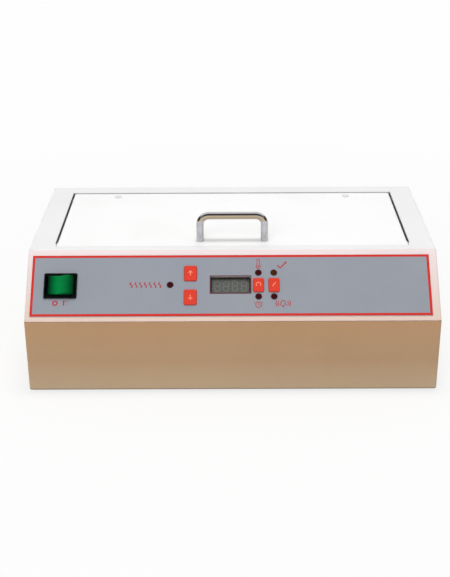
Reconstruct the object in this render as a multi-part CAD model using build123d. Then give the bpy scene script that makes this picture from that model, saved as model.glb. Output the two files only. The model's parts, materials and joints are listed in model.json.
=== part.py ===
"""Dry heat sterilizer for a bench top: a low folded steel case with a sloping control panel, and a
hinged, insulated lid over a stainless steel chamber.

Millimetres. +X is to the right of someone who faces the panel, +Y runs from the panel to the back,
and +Z is up. The origin is on the bench, under the middle of the whole object.
"""

from build123d import *
from math import atan2, cos, hypot, radians, sin, tan
import os

# Case
WIDTH = 400.0
DEPTH = 238.0
CASE_HEIGHT = 127.0
LOWER_HEIGHT = 75.0  # upright lower front, which the sloping panel starts from
PANEL_RUN = 54.0  # how far back the sloping panel runs
FOOT_HEIGHT = 3.0
SHEET = 1.2  # painted steel of the case
BEND = 2.0  # outside radius of a fold
SEAM = 0.3  # between the two halves of the case
FIT = 0.2  # between folded pieces that slip together
REAR_PROUD = 2.0  # what stands out of the back wall: screw heads and the inlet's flange

FRONT_Y = -(DEPTH + REAR_PROUD) / 2
REAR_Y = FRONT_Y + DEPTH
BOTTOM_Z = FOOT_HEIGHT
FLOOR_Z = BOTTOM_Z + SHEET
FOLD_Z = BOTTOM_Z + LOWER_HEIGHT
TOP_Z = BOTTOM_Z + CASE_HEIGHT
HALF_WIDTH = WIDTH / 2

# Sloping panel: u runs to the right from the middle, v up the slope from the fold
PANEL_RISE = TOP_Z - FOLD_Z
PANEL_LENGTH = hypot(PANEL_RUN, PANEL_RISE)
SLOPE = atan2(PANEL_RISE, PANEL_RUN)
PANEL = Plane(origin=(0, FRONT_Y, FOLD_Z), x_dir=(1, 0, 0), z_dir=(0, -sin(SLOPE), cos(SLOPE)))
PANEL_MIDDLE = PANEL_LENGTH / 2

# Overlap of the upper case inside the lower case, and its screws
TUCK = 12.0  # how far the upper case's flanges reach down inside the lower case
TUCK_CORNER = 14.0  # left open at each corner
SCREW_RADIUS = 2.0
SCREW_HEAD_RADIUS = 3.6
SCREW_HEAD_HEIGHT = REAR_PROUD
SCREW_LENGTH = 8.0
SIDE_SCREW_INSET = 32.0  # from the front and back walls
BACK_SCREW_INSET = 45.0  # from the side walls

# Lid opening
LID_GAP = 1.8
OPENING_HALF_X = 176.0
OPENING_FRONT = 70.0  # from the fold at the front of the case
OPENING_BACK = 219.0
OPENING_FLANGE = 19.5  # depth of the folded edge of the opening, from the top face
LIP = 6.1  # front lip of the lid, past the opening's front edge
LIP_GAP = 0.4
LIP_CLEARANCE = 0.3  # under the lip

OPENING_Y0 = FRONT_Y + OPENING_FRONT
OPENING_Y1 = FRONT_Y + OPENING_BACK
FLANGE_Z = TOP_Z - OPENING_FLANGE
REBATE_Z = TOP_Z - SHEET - LIP_CLEARANCE

# Seal between the chamber and the lid
GASKET_INSET = 4.0  # outside the chamber's mouth
GASKET_WIDTH = 6.0
GASKET_HEIGHT = 3.0
SOFT_GAP = 0.3

# Lid
LID_FLANGE = 11.0
LID_BACK_FLANGE = 8.0  # shorter at the back, so that it swings clear of the seal
PAN_SHEET = 0.8
PLUG_DROP = 5.0  # the pressed middle of the lid's lower plate
PLUG_INSET = 5.0  # inside the chamber's mouth
PLUG_RADIUS = 12.0
LID_X = OPENING_HALF_X - LID_GAP
LID_Y0 = OPENING_Y0 + LID_GAP
LID_Y1 = OPENING_Y1 - LID_GAP - FIT
LID_BOTTOM = FLANGE_Z + GASKET_HEIGHT + SOFT_GAP
PAN_X = LID_X - SHEET - FIT
PAN_Y0 = LID_Y0 + SHEET

# Hinge
PIN_RADIUS = 2.0
PIN_CLEARANCE = 0.05
RUNNING = 0.3  # between other pieces that move past each other
PIN_HEAD_RADIUS = 3.6
PIN_HEAD = 2.0
PIN_DROP = 5.0  # of the hinge axis below the top face
PIN_SETBACK = 12.0  # of the hinge axis from the lid's back edge
BUSH_WALL = 1.2
BUSH_LENGTH = 4.0
BUSH_RADIUS = PIN_RADIUS + PIN_CLEARANCE + BUSH_WALL
BRACKET_SHEET = 1.6
BRACKET_FOLD = 1.0
BRACKET_LENGTH = 59.0
BRACKET_FRONT = 15.0  # in front of the hinge axis
BRACKET_BACK = 4.5  # behind it
EAR_FRONT = 6.0
RIVET_X = 125.0
RIVET_RADIUS = 2.0
RIVET_HEAD_RADIUS = 4.0
RIVET_HEAD = 0.9
RIVET_TAIL = 1.0
PIN_Y = LID_Y1 - PIN_SETBACK
PIN_Z = TOP_Z - PIN_DROP
PAN_Y1 = PIN_Y + 1.0  # the lid's lower plate ends here, so that it swings clear of the seal
PAN_TOP = PIN_Z - BUSH_RADIUS - 0.5
PAN_BACK_TOP = TOP_Z - SHEET - BRACKET_SHEET - RIVET_TAIL - FIT
WOOL_TOP = TOP_Z - 4.0
BRACKET_X1 = PAN_X - PAN_SHEET
BRACKET_X0 = BRACKET_X1 - BRACKET_LENGTH

# Handle
HANDLE_ROD = 7.5
HANDLE_SPAN = 64.0  # between the legs' centres
HANDLE_RISE = 26.5  # to the middle of the bar
HANDLE_BEND = 9.0
HANDLE_SETBACK = 7.5  # of the legs from the opening's front edge
HANDLE_BORE = 10.0
HANDLE_SCREW = 8.0
HANDLE_SCREW_RADIUS = 2.0
HANDLE_HEAD_RADIUS = 3.8
HANDLE_Y = OPENING_Y0 + HANDLE_SETBACK
HANDLE_SCREW_HEAD = 2.4

# Chamber
TUB_SHEET = 1.0
TUB_HALF_X = 160.0
TUB_FRONT = 12.0  # inside the opening's front edge
TUB_BACK = 30.0  # inside the opening's back edge
TUB_DEPTH = 65.0
TUB_CORNER = 16.0
TUB_FOOT_RADIUS = 8.0
TUB_Y0 = OPENING_Y0 + TUB_FRONT
TUB_Y1 = OPENING_Y1 - TUB_BACK
TUB_MIDDLE_Y = (TUB_Y0 + TUB_Y1) / 2
TUB_FLOOR = FLANGE_Z - TUB_DEPTH
TUB_UNDER = TUB_FLOOR - TUB_SHEET
CLIP_HEIGHT = 12.0
CLIP_FOOT = 9.0
CLIP_WIDTH = 18.0
CLIP_X = 110.0

# Heater under the chamber
ELEMENT_RADIUS = 3.25
ELEMENT_PITCH = 27.0
ELEMENT_RUNS = 4
ELEMENT_HALF_X = 140.0
ELEMENT_LEG_X = -115.0
ELEMENT_RETURN_X = -150.0
ELEMENT_BEND = 13.0
ELEMENT_LEFT_X = -130.0
TOUCH = 0.1  # where a round face meets its seat
ELEMENT_Z = TUB_UNDER - ELEMENT_RADIUS - TOUCH
ELEMENT_Y0 = TUB_MIDDLE_Y - ELEMENT_PITCH * (ELEMENT_RUNS - 1) / 2
BAR_X = (-90.0, 0.0, 90.0)
BAR_WIDTH = 12.0
BAR_THICKNESS = 2.0
BAR_LENGTH = 98.0
BAR_TOP = ELEMENT_Z - ELEMENT_RADIUS - TOUCH
STUD_RADIUS = 2.0
NUT_HEIGHT = 3.2
NUT_FLATS = 7.0

# Insulation round the chamber
CASING_SHEET = 0.8
CASING_HALF_X = 190.0
CASING_FRONT = 19.0  # outside the chamber's front wall
CASING_BACK = 17.8
CASING_HEIGHT = 99.0
WOOL_GAP = 0.5
CASING_Y0 = TUB_Y0 - TUB_SHEET - CASING_FRONT
CASING_Y1 = TUB_Y1 + TUB_SHEET + CASING_BACK
CASING_TOP = FLOOR_Z + CASING_HEIGHT
TERMINAL_REACH = 17.0  # of the element's ends in front of the casing
TERMINAL_LENGTH = 12.0

STUD_END = BAR_TOP - BAR_THICKNESS - NUT_HEIGHT - 1.0
POCKET_DEPTH = 15.0
CUTOUT_X = 45.0
SENSOR_RADIUS = 2.5
SENSOR_X0 = -70.0
SENSOR_X1 = -35.0

# Power board on the floor, in front of the casing
POWER_X0 = -48.0
POWER_X1 = 48.0
POWER_Y0 = FRONT_Y + 8.0
POWER_Y1 = FRONT_Y + 52.0
POWER_Z = FLOOR_Z + 8.0
TERMINALS = 5
TERMINAL_PITCH = 5.0

# Panel controls, as u, v on the panel
OVERLAY = 0.8
OVERLAY_LEFT = 5.1  # bare painted edge left of the overlay
OVERLAY_RIGHT = 8.3
OVERLAY_FOOT = 5.2
OVERLAY_HEAD = 6.4
SWITCH_U = -166.5
SWITCH_V = 36.5
KEY_ROW = 12.4  # up and down from the panel's middle to the paired keys and lamps
KEY_LOWER = 0.7  # of all keys below the rows of the lamps
PAIR_KEY_U = -40.8
PAIR_KEY_WIDTH = 12.3
PAIR_KEY_HEIGHT = 15.8
INNER_U = 25.1  # the column next to the display
OUTER_U = 40.1
SMALL_KEY_WIDTH = 10.5
SMALL_KEY_HEIGHT = 14.3
HEATING_LAMP_U = -60.4
DISPLAY_U = -1.9
DISPLAY_WIDTH = 38.5
DISPLAY_HEIGHT = 17.2
DISPLAY_CORNER = 0.8
WINDOW_MARGIN = 1.5  # of the window behind the panel's sheet
WINDOW_THICKNESS = 2.0
LAMP_RADIUS = 3.2
KEY_GAP = 0.25
KEY_CORNER = 1.8
KEY_PROUD = 1.2
KEY_TRAVEL = 0.8
KEY_FLANGE = 1.0
KEY_FLANGE_OUT = 0.7
KEY_REST = 0.1  # between a key's flange and the sheet over it
KEY_STEM_RADIUS = 1.8
KEY_STEM_TIP = -8.2
KEY_SWITCH_SIZE = 7.0
KEY_SWITCH_HEIGHT = 5.0

# Digits
DIGITS = 4
DIGIT_PITCH = 8.6
MODULE_HEIGHT = 14.0
MODULE_TOP = -3.6
SEGMENT_LENGTH = 4.6
SEGMENT_WIDTH = 1.0
SEGMENT_SPACE = 0.3
SEGMENT_THICKNESS = 0.3

# Lamps and keys
LAMP_PROUD = 1.0
LAMP_SKIRT = 3.0
LAMP_STEM_RADIUS = 2.5
KEY_SOFT = 0.5
KEY_DISH = 0.35
KEY_DISH_RADIUS = 30.0
KEY_WELL = -9.6

# Rocker switch
BEZEL_WIDTH = 32.0
BEZEL_HEIGHT = 26.0
BEZEL_PROUD = 2.0
SWITCH_BODY_WIDTH = 30.0
SWITCH_BODY_HEIGHT = 21.6
SWITCH_DEPTH = 20.0
SWITCH_WELL_WIDTH = 28.6
SWITCH_WELL_HEIGHT = 19.2
SWITCH_WELL_DEPTH = 17.0
CUTOUT_GAP = 0.2
ROCKER_RADIUS = 14.0
ROCKER_WIDTH = 18.6
ROCKER_DROP = 8.0  # of its underside below the pivot
ROCKER_TILT = 10.0  # degrees, each side of the level
ROCKER_PIVOT = -3.0  # height of the pivot over the panel's face
ROCKER_MIDDLE = 5.2  # height of the face at its middle over the panel's face
ROCKER_SOFT = 1.0  # rounding along its crests
ROCKER_PIN_RADIUS = 1.5
ROCKER_PIN_REACH = 0.7
BLADE_SPREAD = 9.0
BLADE_WIDTH = 6.3
BLADE_THICKNESS = 0.8
BLADE_LENGTH = 8.0

# Control board behind the panel
BOARD_DEPTH = 12.0  # of its front face below the panel's face
BOARD_THICKNESS = 1.6
BOARD_U0 = -69.0
BOARD_U1 = 59.0
BOARD_V0 = 8.5
BOARD_V1 = 66.5
SPACER_INSET = 5.0
SPACER_RADIUS = 3.0
BOARD_SCREW_RADIUS = 1.5
BOARD_SCREW_HEAD = 1.8
BUZZER_RADIUS = 6.0
BUZZER_HEIGHT = 7.0
BUZZER_U = 45.0

# Mains inlet in the back wall
INLET_X = -120.0
INLET_Z = 37.0
INLET_FLANGE_WIDTH = 50.0
INLET_FLANGE_HEIGHT = 24.0
INLET_BODY_WIDTH = 27.4
INLET_BODY_HEIGHT = 19.6
INLET_BODY_DEPTH = 17.0
INLET_WELL_WIDTH = 24.4
INLET_WELL_HEIGHT = 16.6
INLET_WELL_DEPTH = 15.0
INLET_SCREW_X = 20.0
INLET_SCREW_RADIUS = 1.5
INLET_CORNER = 5.0
INLET_PIN_PLACES = ((-7.0, -2.0), (0.0, 2.0), (7.0, -2.0))

# Feet
FOOT_RADIUS = 9.0
FOOT_SIDE = 25.0  # from the side walls
FOOT_FRONT = 20.0
FOOT_BACK = 14.0
FOOT_RECESS = 2.2
FOOT_SCREW_HEAD = 1.6

# Slots that cool the case
SLOT_WIDTH = 3.0
SLOT_LENGTH = 26.0
SLOT_PITCH = 8.0
SLOT_COUNT = 12
BACK_SLOT_X = 100.0
BACK_SLOT_Z = 37.0
FLOOR_SLOT_Y = 32.0  # behind the front wall


def box(x0, x1, y0, y1, z0, z1):
    """A block between two corners."""
    middle = Pos((x0 + x1) / 2, (y0 + y1) / 2, (z0 + z1) / 2)
    return middle * Box(abs(x1 - x0), abs(y1 - y0), abs(z1 - z0))


def post(radius, x, y, z0, z1):
    """A round bar that stands upright."""
    return Pos(x, y, (z0 + z1) / 2) * Cylinder(radius, abs(z1 - z0))


def bar_x(radius, x0, x1, y, z):
    """A round bar along X."""
    return Pos((x0 + x1) / 2, y, z) * Rot(0, 90, 0) * Cylinder(radius, abs(x1 - x0))


def bar_y(radius, x, y0, y1, z):
    """A round bar along Y."""
    return Pos(x, (y0 + y1) / 2, z) * Rot(90, 0, 0) * Cylinder(radius, abs(y1 - y0))


def hexagon(flats, x, y, z0, z1):
    """A nut's blank, standing upright."""
    face = Pos(x, y, z0) * RegularPolygon(flats / 2, 6, major_radius=False)
    return extrude(face, z1 - z0)


def panel_block(u, v, width, height, z0, z1, corner=0.0):
    """A block on the sloping panel, from z0 to z1 above its painted face."""
    face = RectangleRounded(width, height, corner) if corner else Rectangle(width, height)
    return PANEL * Pos(u, v, z0) * extrude(face, z1 - z0)


def panel_post(radius, u, v, z0, z1):
    """A round bar square to the sloping panel."""
    return PANEL * Pos(u, v, (z0 + z1) / 2) * Cylinder(radius, abs(z1 - z0))


def both_sides(piece):
    """A piece and its mirror image on the other side of the case."""
    return [piece, mirror(piece, Plane.YZ)]


def fuse(pieces):
    """One solid made of touching or overlapping pieces."""
    whole = pieces[0]
    for piece in pieces[1:]:
        whole = whole + piece
    return whole


def key_places():
    """Name, u, v, width and height of each key."""
    middle = PANEL_MIDDLE - KEY_LOWER
    low, high = middle - KEY_ROW, middle + KEY_ROW
    pair = (PAIR_KEY_WIDTH, PAIR_KEY_HEIGHT)
    small = (SMALL_KEY_WIDTH, SMALL_KEY_HEIGHT)
    return [
        ("key_up", PAIR_KEY_U, high, *pair),
        ("key_down", PAIR_KEY_U, low, *pair),
        ("key_select", INNER_U, middle, *small),
        ("key_start", OUTER_U, middle, *small),
    ]


def lamp_places():
    """Name, u and v of each indicator lamp."""
    low, high = PANEL_MIDDLE - KEY_ROW, PANEL_MIDDLE + KEY_ROW
    return [
        ("lamp_heating", HEATING_LAMP_U, PANEL_MIDDLE),
        ("lamp_temperature", INNER_U, high),
        ("lamp_timer", INNER_U, low),
        ("lamp_ready", OUTER_U, high),
        ("lamp_alarm", OUTER_U, low),
    ]


def side_screw_places():
    """y of the screws in each side wall, and x of those in the back wall."""
    return (FRONT_Y + SIDE_SCREW_INSET, REAR_Y - SIDE_SCREW_INSET), HALF_WIDTH - BACK_SCREW_INSET


SCREW_Z = FOLD_Z - TUCK / 2
FOOT_PLACES = [
    (side * (HALF_WIDTH - FOOT_SIDE), y)
    for side in (-1, 1)
    for y in (FRONT_Y + FOOT_FRONT, REAR_Y - FOOT_BACK)
]


def lower_block(inset, top):
    """The lower case's outside, drawn in by inset and with its folds rounded."""
    block = box(
        -HALF_WIDTH + inset,
        HALF_WIDTH - inset,
        FRONT_Y + inset,
        REAR_Y - inset,
        BOTTOM_Z + inset,
        top,
    )
    folds = block.edges().filter_by(Axis.Z) + block.edges().group_by(Axis.Z)[0]
    return fillet(folds, BEND - inset)


def slots(x_middle, place):
    """A row of upright slots, each cut by the block that place makes for its x."""
    first = x_middle - SLOT_PITCH * (SLOT_COUNT - 1) / 2
    return [place(first + SLOT_PITCH * n) for n in range(SLOT_COUNT)]


def back_slot(x):
    half = SLOT_LENGTH / 2
    face = Plane.XZ * Pos(x, BACK_SLOT_Z) * SlotOverall(SLOT_LENGTH, SLOT_WIDTH, rotation=90)
    return Pos(0, REAR_Y + half, 0) * extrude(face, SLOT_LENGTH)


def floor_slot(x):
    face = Pos(x, FRONT_Y + FLOOR_SLOT_Y) * SlotOverall(SLOT_LENGTH, SLOT_WIDTH, rotation=90)
    return extrude(face, FLOOR_Z + SHEET)


def base_shell():
    """Lower case: a folded steel tray, open at the top."""
    shell = lower_block(0, FOLD_Z - SEAM) - lower_block(SHEET, FOLD_Z)
    cuts = slots(BACK_SLOT_X, back_slot) + slots(-BACK_SLOT_X, floor_slot) + slots(BACK_SLOT_X, floor_slot)
    cuts += [post(SCREW_RADIUS, x, y, 0, FLOOR_Z + SHEET) for x, y in FOOT_PLACES]
    cuts.append(
        box(
            INLET_X - INLET_BODY_WIDTH / 2 - CUTOUT_GAP,
            INLET_X + INLET_BODY_WIDTH / 2 + CUTOUT_GAP,
            REAR_Y - 2 * SHEET,
            REAR_Y + SHEET,
            INLET_Z - INLET_BODY_HEIGHT / 2 - CUTOUT_GAP,
            INLET_Z + INLET_BODY_HEIGHT / 2 + CUTOUT_GAP,
        )
    )
    for side in (-1, 1):
        x = INLET_X + side * INLET_SCREW_X
        cuts.append(bar_y(INLET_SCREW_RADIUS, x, REAR_Y - 2 * SHEET, REAR_Y + SHEET, INLET_Z))
    side_y, back_x = side_screw_places()
    for side in (-1, 1):
        wall = side * HALF_WIDTH
        for y in side_y:
            cuts.append(bar_x(SCREW_RADIUS, wall - 2 * SHEET, wall + 2 * SHEET, y, SCREW_Z))
        x = side * back_x
        cuts.append(bar_y(SCREW_RADIUS, x, REAR_Y - 2 * SHEET, REAR_Y + 2 * SHEET, SCREW_Z))
    return shell - cuts


def cover_block(inset, low):
    """The upper case's outside, drawn in by inset and with its folds rounded."""
    rise_low = low - FOLD_Z
    rise_top = TOP_Z - inset - FOLD_Z
    low_y = FRONT_Y + (cos(SLOPE) * rise_low + inset) / sin(SLOPE)
    top_y = FRONT_Y + (cos(SLOPE) * rise_top + inset) / sin(SLOPE)
    outline = Polyline(
        (low_y, low),
        (top_y, TOP_Z - inset),
        (REAR_Y - inset, TOP_Z - inset),
        (REAR_Y - inset, low),
        close=True,
    )
    half = HALF_WIDTH - inset
    block = Pos(-half, 0, 0) * extrude(make_face(Plane.YZ * outline), 2 * half, dir=(1, 0, 0))
    folds = [edge for edge in block.edges() if edge.center().Z > low + BEND]
    return fillet(folds, BEND - inset)


def tuck_flanges():
    """Folded edges of the upper case that slip down inside the lower case."""
    out, thick = SHEET + FIT, SHEET
    low, high = FOLD_Z - TUCK, FOLD_Z + 2 * SHEET
    x_end = HALF_WIDTH - TUCK_CORNER
    y0, y1 = FRONT_Y + TUCK_CORNER, REAR_Y - TUCK_CORNER
    pieces = []
    for drop, near in ((low, out), (FOLD_Z, SHEET / 2)):
        top = high
        side = box(HALF_WIDTH - out - thick, HALF_WIDTH - near, y0, y1, drop, top)
        pieces += both_sides(side)
        pieces.append(box(-x_end, x_end, REAR_Y - out - thick, REAR_Y - near, drop, top))
    pieces.append(box(-x_end, x_end, FRONT_Y + out, FRONT_Y + out + thick, low, FOLD_Z + SHEET))
    return pieces


def opening_flanges():
    """Edges of the lid opening, folded down, with the step in front that the lid's lip lies in."""
    x, y0, y1 = OPENING_HALF_X, OPENING_Y0, OPENING_Y1
    under_step = REBATE_Z - SHEET
    step_y = y0 - LIP - LIP_GAP
    frame = box(-x - SHEET, x + SHEET, y0 - SHEET, y1 + SHEET, FLANGE_Z, TOP_Z - SHEET / 2)
    frame -= box(-x, x, y0, y1, FLANGE_Z - 1, TOP_Z + 1)
    half = LID_X + LIP_GAP
    step = box(-half - SHEET, half + SHEET, step_y - SHEET, y0, under_step, TOP_Z - SHEET / 2)
    return frame, step


def lip_pocket():
    """What the lid's front lip and its clearance take out of the top."""
    half = LID_X + LIP_GAP
    return box(-half, half, OPENING_Y0 - LIP - LIP_GAP, OPENING_Y0, REBATE_Z, TOP_Z + 1)


def top_cover():
    """Upper case: the top with its lid opening, the sloping panel, the cheeks and the upper back."""
    cover = cover_block(0, FOLD_Z) - cover_block(SHEET, FOLD_Z - 1)
    x, y0, y1 = OPENING_HALF_X, OPENING_Y0, OPENING_Y1
    flanges = fuse(tuck_flanges())
    cover += flanges & (cover_block(0, FOLD_Z) + lower_block(0, FOLD_Z))
    frame, step = opening_flanges()
    cover = cover - box(-x, x, y0, y1, TOP_Z - 2 * SHEET, TOP_Z + 1) + frame + step
    cover -= lip_pocket()
    cuts = [
        panel_block(
            SWITCH_U,
            SWITCH_V,
            SWITCH_BODY_WIDTH + 2 * CUTOUT_GAP,
            SWITCH_BODY_HEIGHT + 2 * CUTOUT_GAP,
            -3 * SHEET,
            SHEET,
        ),
        panel_block(
            DISPLAY_U, PANEL_MIDDLE, DISPLAY_WIDTH, DISPLAY_HEIGHT, -3 * SHEET, SHEET, DISPLAY_CORNER
        ),
    ]
    for _, u, v, width, height in key_places():
        size = (width + 2 * KEY_GAP, height + 2 * KEY_GAP)
        cuts.append(panel_block(u, v, *size, -3 * SHEET, SHEET, KEY_CORNER + KEY_GAP))
    for _, u, v in lamp_places():
        cuts.append(panel_post(LAMP_RADIUS + KEY_GAP, u, v, -3 * SHEET, SHEET))
    side_y, back_x = side_screw_places()
    for side in (-1, 1):
        wall = side * HALF_WIDTH
        for y in side_y:
            cuts.append(bar_x(SCREW_RADIUS, side * (HALF_WIDTH - 4 * SHEET), wall, y, SCREW_Z))
        cuts.append(bar_y(SCREW_RADIUS, side * back_x, REAR_Y - 4 * SHEET, REAR_Y, SCREW_Z))
        pin_wall = side * OPENING_HALF_X
        cuts.append(bar_x(PIN_RADIUS, pin_wall - side, pin_wall + side * 2 * SHEET, PIN_Y, PIN_Z))
    return cover - cuts


def cover_screws():
    """Pan head screws that hold the two halves of the case together."""
    side_y, back_x = side_screw_places()
    pieces = []
    for y in side_y:
        shank = bar_x(SCREW_RADIUS, HALF_WIDTH - SCREW_LENGTH, HALF_WIDTH, y, SCREW_Z)
        head = bar_x(SCREW_HEAD_RADIUS, HALF_WIDTH, HALF_WIDTH + SCREW_HEAD_HEIGHT, y, SCREW_Z)
        pieces += both_sides(shank + soften_head(head, Axis.X))
    shank = bar_y(SCREW_RADIUS, back_x, REAR_Y - SCREW_LENGTH, REAR_Y, SCREW_Z)
    head = bar_y(SCREW_HEAD_RADIUS, back_x, REAR_Y, REAR_Y + SCREW_HEAD_HEIGHT, SCREW_Z)
    pieces += both_sides(shank + soften_head(head, Axis.Y))
    return pieces


def soften_head(head, axis):
    """A screw head with its outer edge rounded; the outer edge is the far one along the axis."""
    return fillet(head.edges().group_by(axis)[-1], 0.45 * SCREW_HEAD_HEIGHT)


def feet():
    """Low rubber feet, each hollowed for the head of its screw."""
    pieces = []
    for x, y in FOOT_PLACES:
        foot = post(FOOT_RADIUS, x, y, 0, BOTTOM_Z)
        foot = fillet(foot.edges().group_by(Axis.Z)[0], 0.8)
        foot -= post(SCREW_HEAD_RADIUS + FIT, x, y, -1, FOOT_RECESS)
        pieces.append(foot - post(SCREW_RADIUS, x, y, 0, BOTTOM_Z + 1))
    return pieces


def foot_screws():
    """Screws up through the feet, with nuts on the case's floor."""
    pieces = []
    for x, y in FOOT_PLACES:
        head = post(SCREW_HEAD_RADIUS, x, y, FOOT_RECESS - FOOT_SCREW_HEAD, FOOT_RECESS)
        pieces.append(head + post(SCREW_RADIUS, x, y, 0.8, FLOOR_Z + NUT_HEIGHT + 1))
        nut = hexagon(NUT_FLATS, x, y, FLOOR_Z, FLOOR_Z + NUT_HEIGHT)
        pieces.append(nut - post(SCREW_RADIUS, x, y, FLOOR_Z - 1, FLOOR_Z + NUT_HEIGHT + 1))
    return pieces


def control_overlay():
    """Grey plate on the sloping panel, cut for the switch, the display, the keys and the lamps."""
    u0, u1 = OVERLAY_LEFT - WIDTH / 2, WIDTH / 2 - OVERLAY_RIGHT
    v0, v1 = OVERLAY_FOOT, PANEL_LENGTH - OVERLAY_HEAD
    plate = panel_block((u0 + u1) / 2, (v0 + v1) / 2, u1 - u0, v1 - v0, 0, OVERLAY)
    cuts = [
        panel_block(
            SWITCH_U,
            SWITCH_V,
            SWITCH_BODY_WIDTH + 2 * CUTOUT_GAP,
            SWITCH_BODY_HEIGHT + 2 * CUTOUT_GAP,
            -1,
            OVERLAY + 1,
        ),
        panel_block(
            DISPLAY_U, PANEL_MIDDLE, DISPLAY_WIDTH, DISPLAY_HEIGHT, -1, OVERLAY + 1, DISPLAY_CORNER
        ),
    ]
    for _, u, v, width, height in key_places():
        size = (width + 2 * KEY_GAP, height + 2 * KEY_GAP)
        cuts.append(panel_block(u, v, *size, -1, OVERLAY + 1, KEY_CORNER + KEY_GAP))
    for _, u, v in lamp_places():
        cuts.append(panel_post(LAMP_RADIUS + TOUCH, u, v, -1, OVERLAY + 1))
    return plate - cuts


def display_window():
    """Tinted window behind the display's opening."""
    size = (DISPLAY_WIDTH + 2 * WINDOW_MARGIN, DISPLAY_HEIGHT + 2 * WINDOW_MARGIN)
    return panel_block(DISPLAY_U, PANEL_MIDDLE, *size, -SHEET - WINDOW_THICKNESS, -SHEET)


def display_module():
    """Block that carries the digits, on the control board."""
    size = (DIGIT_PITCH * DIGITS + 2, MODULE_HEIGHT)
    block = panel_block(DISPLAY_U, PANEL_MIDDLE, *size, -BOARD_DEPTH, MODULE_TOP)
    return block - display_segments(SEGMENT_THICKNESS)


def segment(u, v, upright):
    """One bar of a digit, pointed at both ends, on the module's face."""
    half, point = SEGMENT_LENGTH / 2, SEGMENT_WIDTH / 2
    outline = [
        (-half, 0),
        (-half + point, point),
        (half - point, point),
        (half, 0),
        (half - point, -point),
        (-half + point, -point),
    ]
    face = make_face(Polyline(*outline, close=True))
    place = Pos(u, v, MODULE_TOP - SEGMENT_THICKNESS) * Rot(0, 0, 90 if upright else 0)
    return PANEL * place * extrude(face, SEGMENT_THICKNESS)


def display_segments(extra=0.0):
    """The seven bars of every digit, let into the module's face."""
    step = SEGMENT_LENGTH + SEGMENT_SPACE
    pieces = []
    for n in range(DIGITS):
        u = DISPLAY_U + DIGIT_PITCH * (n - (DIGITS - 1) / 2)
        for level in (-1, 0, 1):
            pieces.append(segment(u, PANEL_MIDDLE + level * step, False))
        for side in (-1, 1):
            for level in (-0.5, 0.5):
                pieces.append(segment(u + side * step / 2, PANEL_MIDDLE + level * step, True))
    return pieces


def lamp(u, v):
    """Round indicator lens on a stem that stands on the control board."""
    lens = panel_post(LAMP_RADIUS, u, v, -SHEET - LAMP_SKIRT, OVERLAY + LAMP_PROUD)
    rim = lens.faces().sort_by(Axis(PANEL.origin, PANEL.z_dir))[-1].edges()
    lens = fillet(rim, LAMP_PROUD)
    return lens + panel_post(LAMP_STEM_RADIUS, u, v, -BOARD_DEPTH, -SHEET - LAMP_SKIRT)


def key(u, v, width, height):
    """Moulded key: a dished cap, a flange behind the panel and a stem down to its switch."""
    top = OVERLAY + KEY_PROUD
    seat = -SHEET - KEY_REST
    cap = panel_block(u, v, width, height, seat - KEY_FLANGE, top, KEY_CORNER)
    face = cap.faces().sort_by(Axis(PANEL.origin, PANEL.z_dir))[-1]
    cap = fillet(face.edges(), KEY_SOFT)
    dish = PANEL * Pos(u, v, top + KEY_DISH_RADIUS - KEY_DISH) * Sphere(KEY_DISH_RADIUS)
    flange = panel_block(
        u,
        v,
        width + 2 * KEY_FLANGE_OUT,
        height + 2 * KEY_FLANGE_OUT,
        seat - KEY_FLANGE,
        seat,
        KEY_CORNER,
    )
    return cap - dish + flange + panel_post(KEY_STEM_RADIUS, u, v, KEY_STEM_TIP, seat)


def key_switches():
    """Push switches on the control board; each takes the stem of a key."""
    pieces = []
    top = KEY_SWITCH_HEIGHT - BOARD_DEPTH
    for _, u, v, _, _ in key_places():
        body = panel_block(u, v, KEY_SWITCH_SIZE, KEY_SWITCH_SIZE, -BOARD_DEPTH, top, 0.6)
        pieces.append(body - panel_post(KEY_STEM_RADIUS + RUNNING, u, v, KEY_WELL, top + 1))
    return pieces


def board_corners():
    """u and v of the control board's screws."""
    return [
        (u, v)
        for u in (BOARD_U0 + SPACER_INSET, BOARD_U1 - SPACER_INSET)
        for v in (BOARD_V0 + SPACER_INSET, BOARD_V1 - SPACER_INSET)
    ]


def control_board():
    """Printed circuit board behind the panel."""
    u, v = (BOARD_U0 + BOARD_U1) / 2, (BOARD_V0 + BOARD_V1) / 2
    size = (BOARD_U1 - BOARD_U0, BOARD_V1 - BOARD_V0)
    low = -BOARD_DEPTH - BOARD_THICKNESS
    board = panel_block(u, v, *size, low, -BOARD_DEPTH, 1.5)
    return board - [panel_post(BOARD_SCREW_RADIUS, *place, low - 1, 0) for place in board_corners()]


def board_spacers():
    """Threaded spacers under the panel's sheet that carry the control board."""
    pieces = []
    for u, v in board_corners():
        spacer = panel_post(SPACER_RADIUS, u, v, -BOARD_DEPTH, -SHEET)
        pieces.append(spacer - panel_post(BOARD_SCREW_RADIUS, u, v, -BOARD_DEPTH - 1, -SHEET - 4))
    return pieces


def board_screws():
    """Screws through the control board into its spacers."""
    back = -BOARD_DEPTH - BOARD_THICKNESS
    pieces = []
    for u, v in board_corners():
        head = panel_post(BOARD_SCREW_RADIUS + 1.3, u, v, back - BOARD_SCREW_HEAD, back)
        pieces.append(head + panel_post(BOARD_SCREW_RADIUS, u, v, back, -BOARD_DEPTH + 5))
    return pieces


def buzzer():
    """Alarm buzzer on the back of the control board."""
    back = -BOARD_DEPTH - BOARD_THICKNESS
    can = panel_post(BUZZER_RADIUS, BUZZER_U, PANEL_MIDDLE, back - BUZZER_HEIGHT, back)
    return can - panel_post(1.2, BUZZER_U, PANEL_MIDDLE, back - BUZZER_HEIGHT - 1, back - 3)


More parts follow.
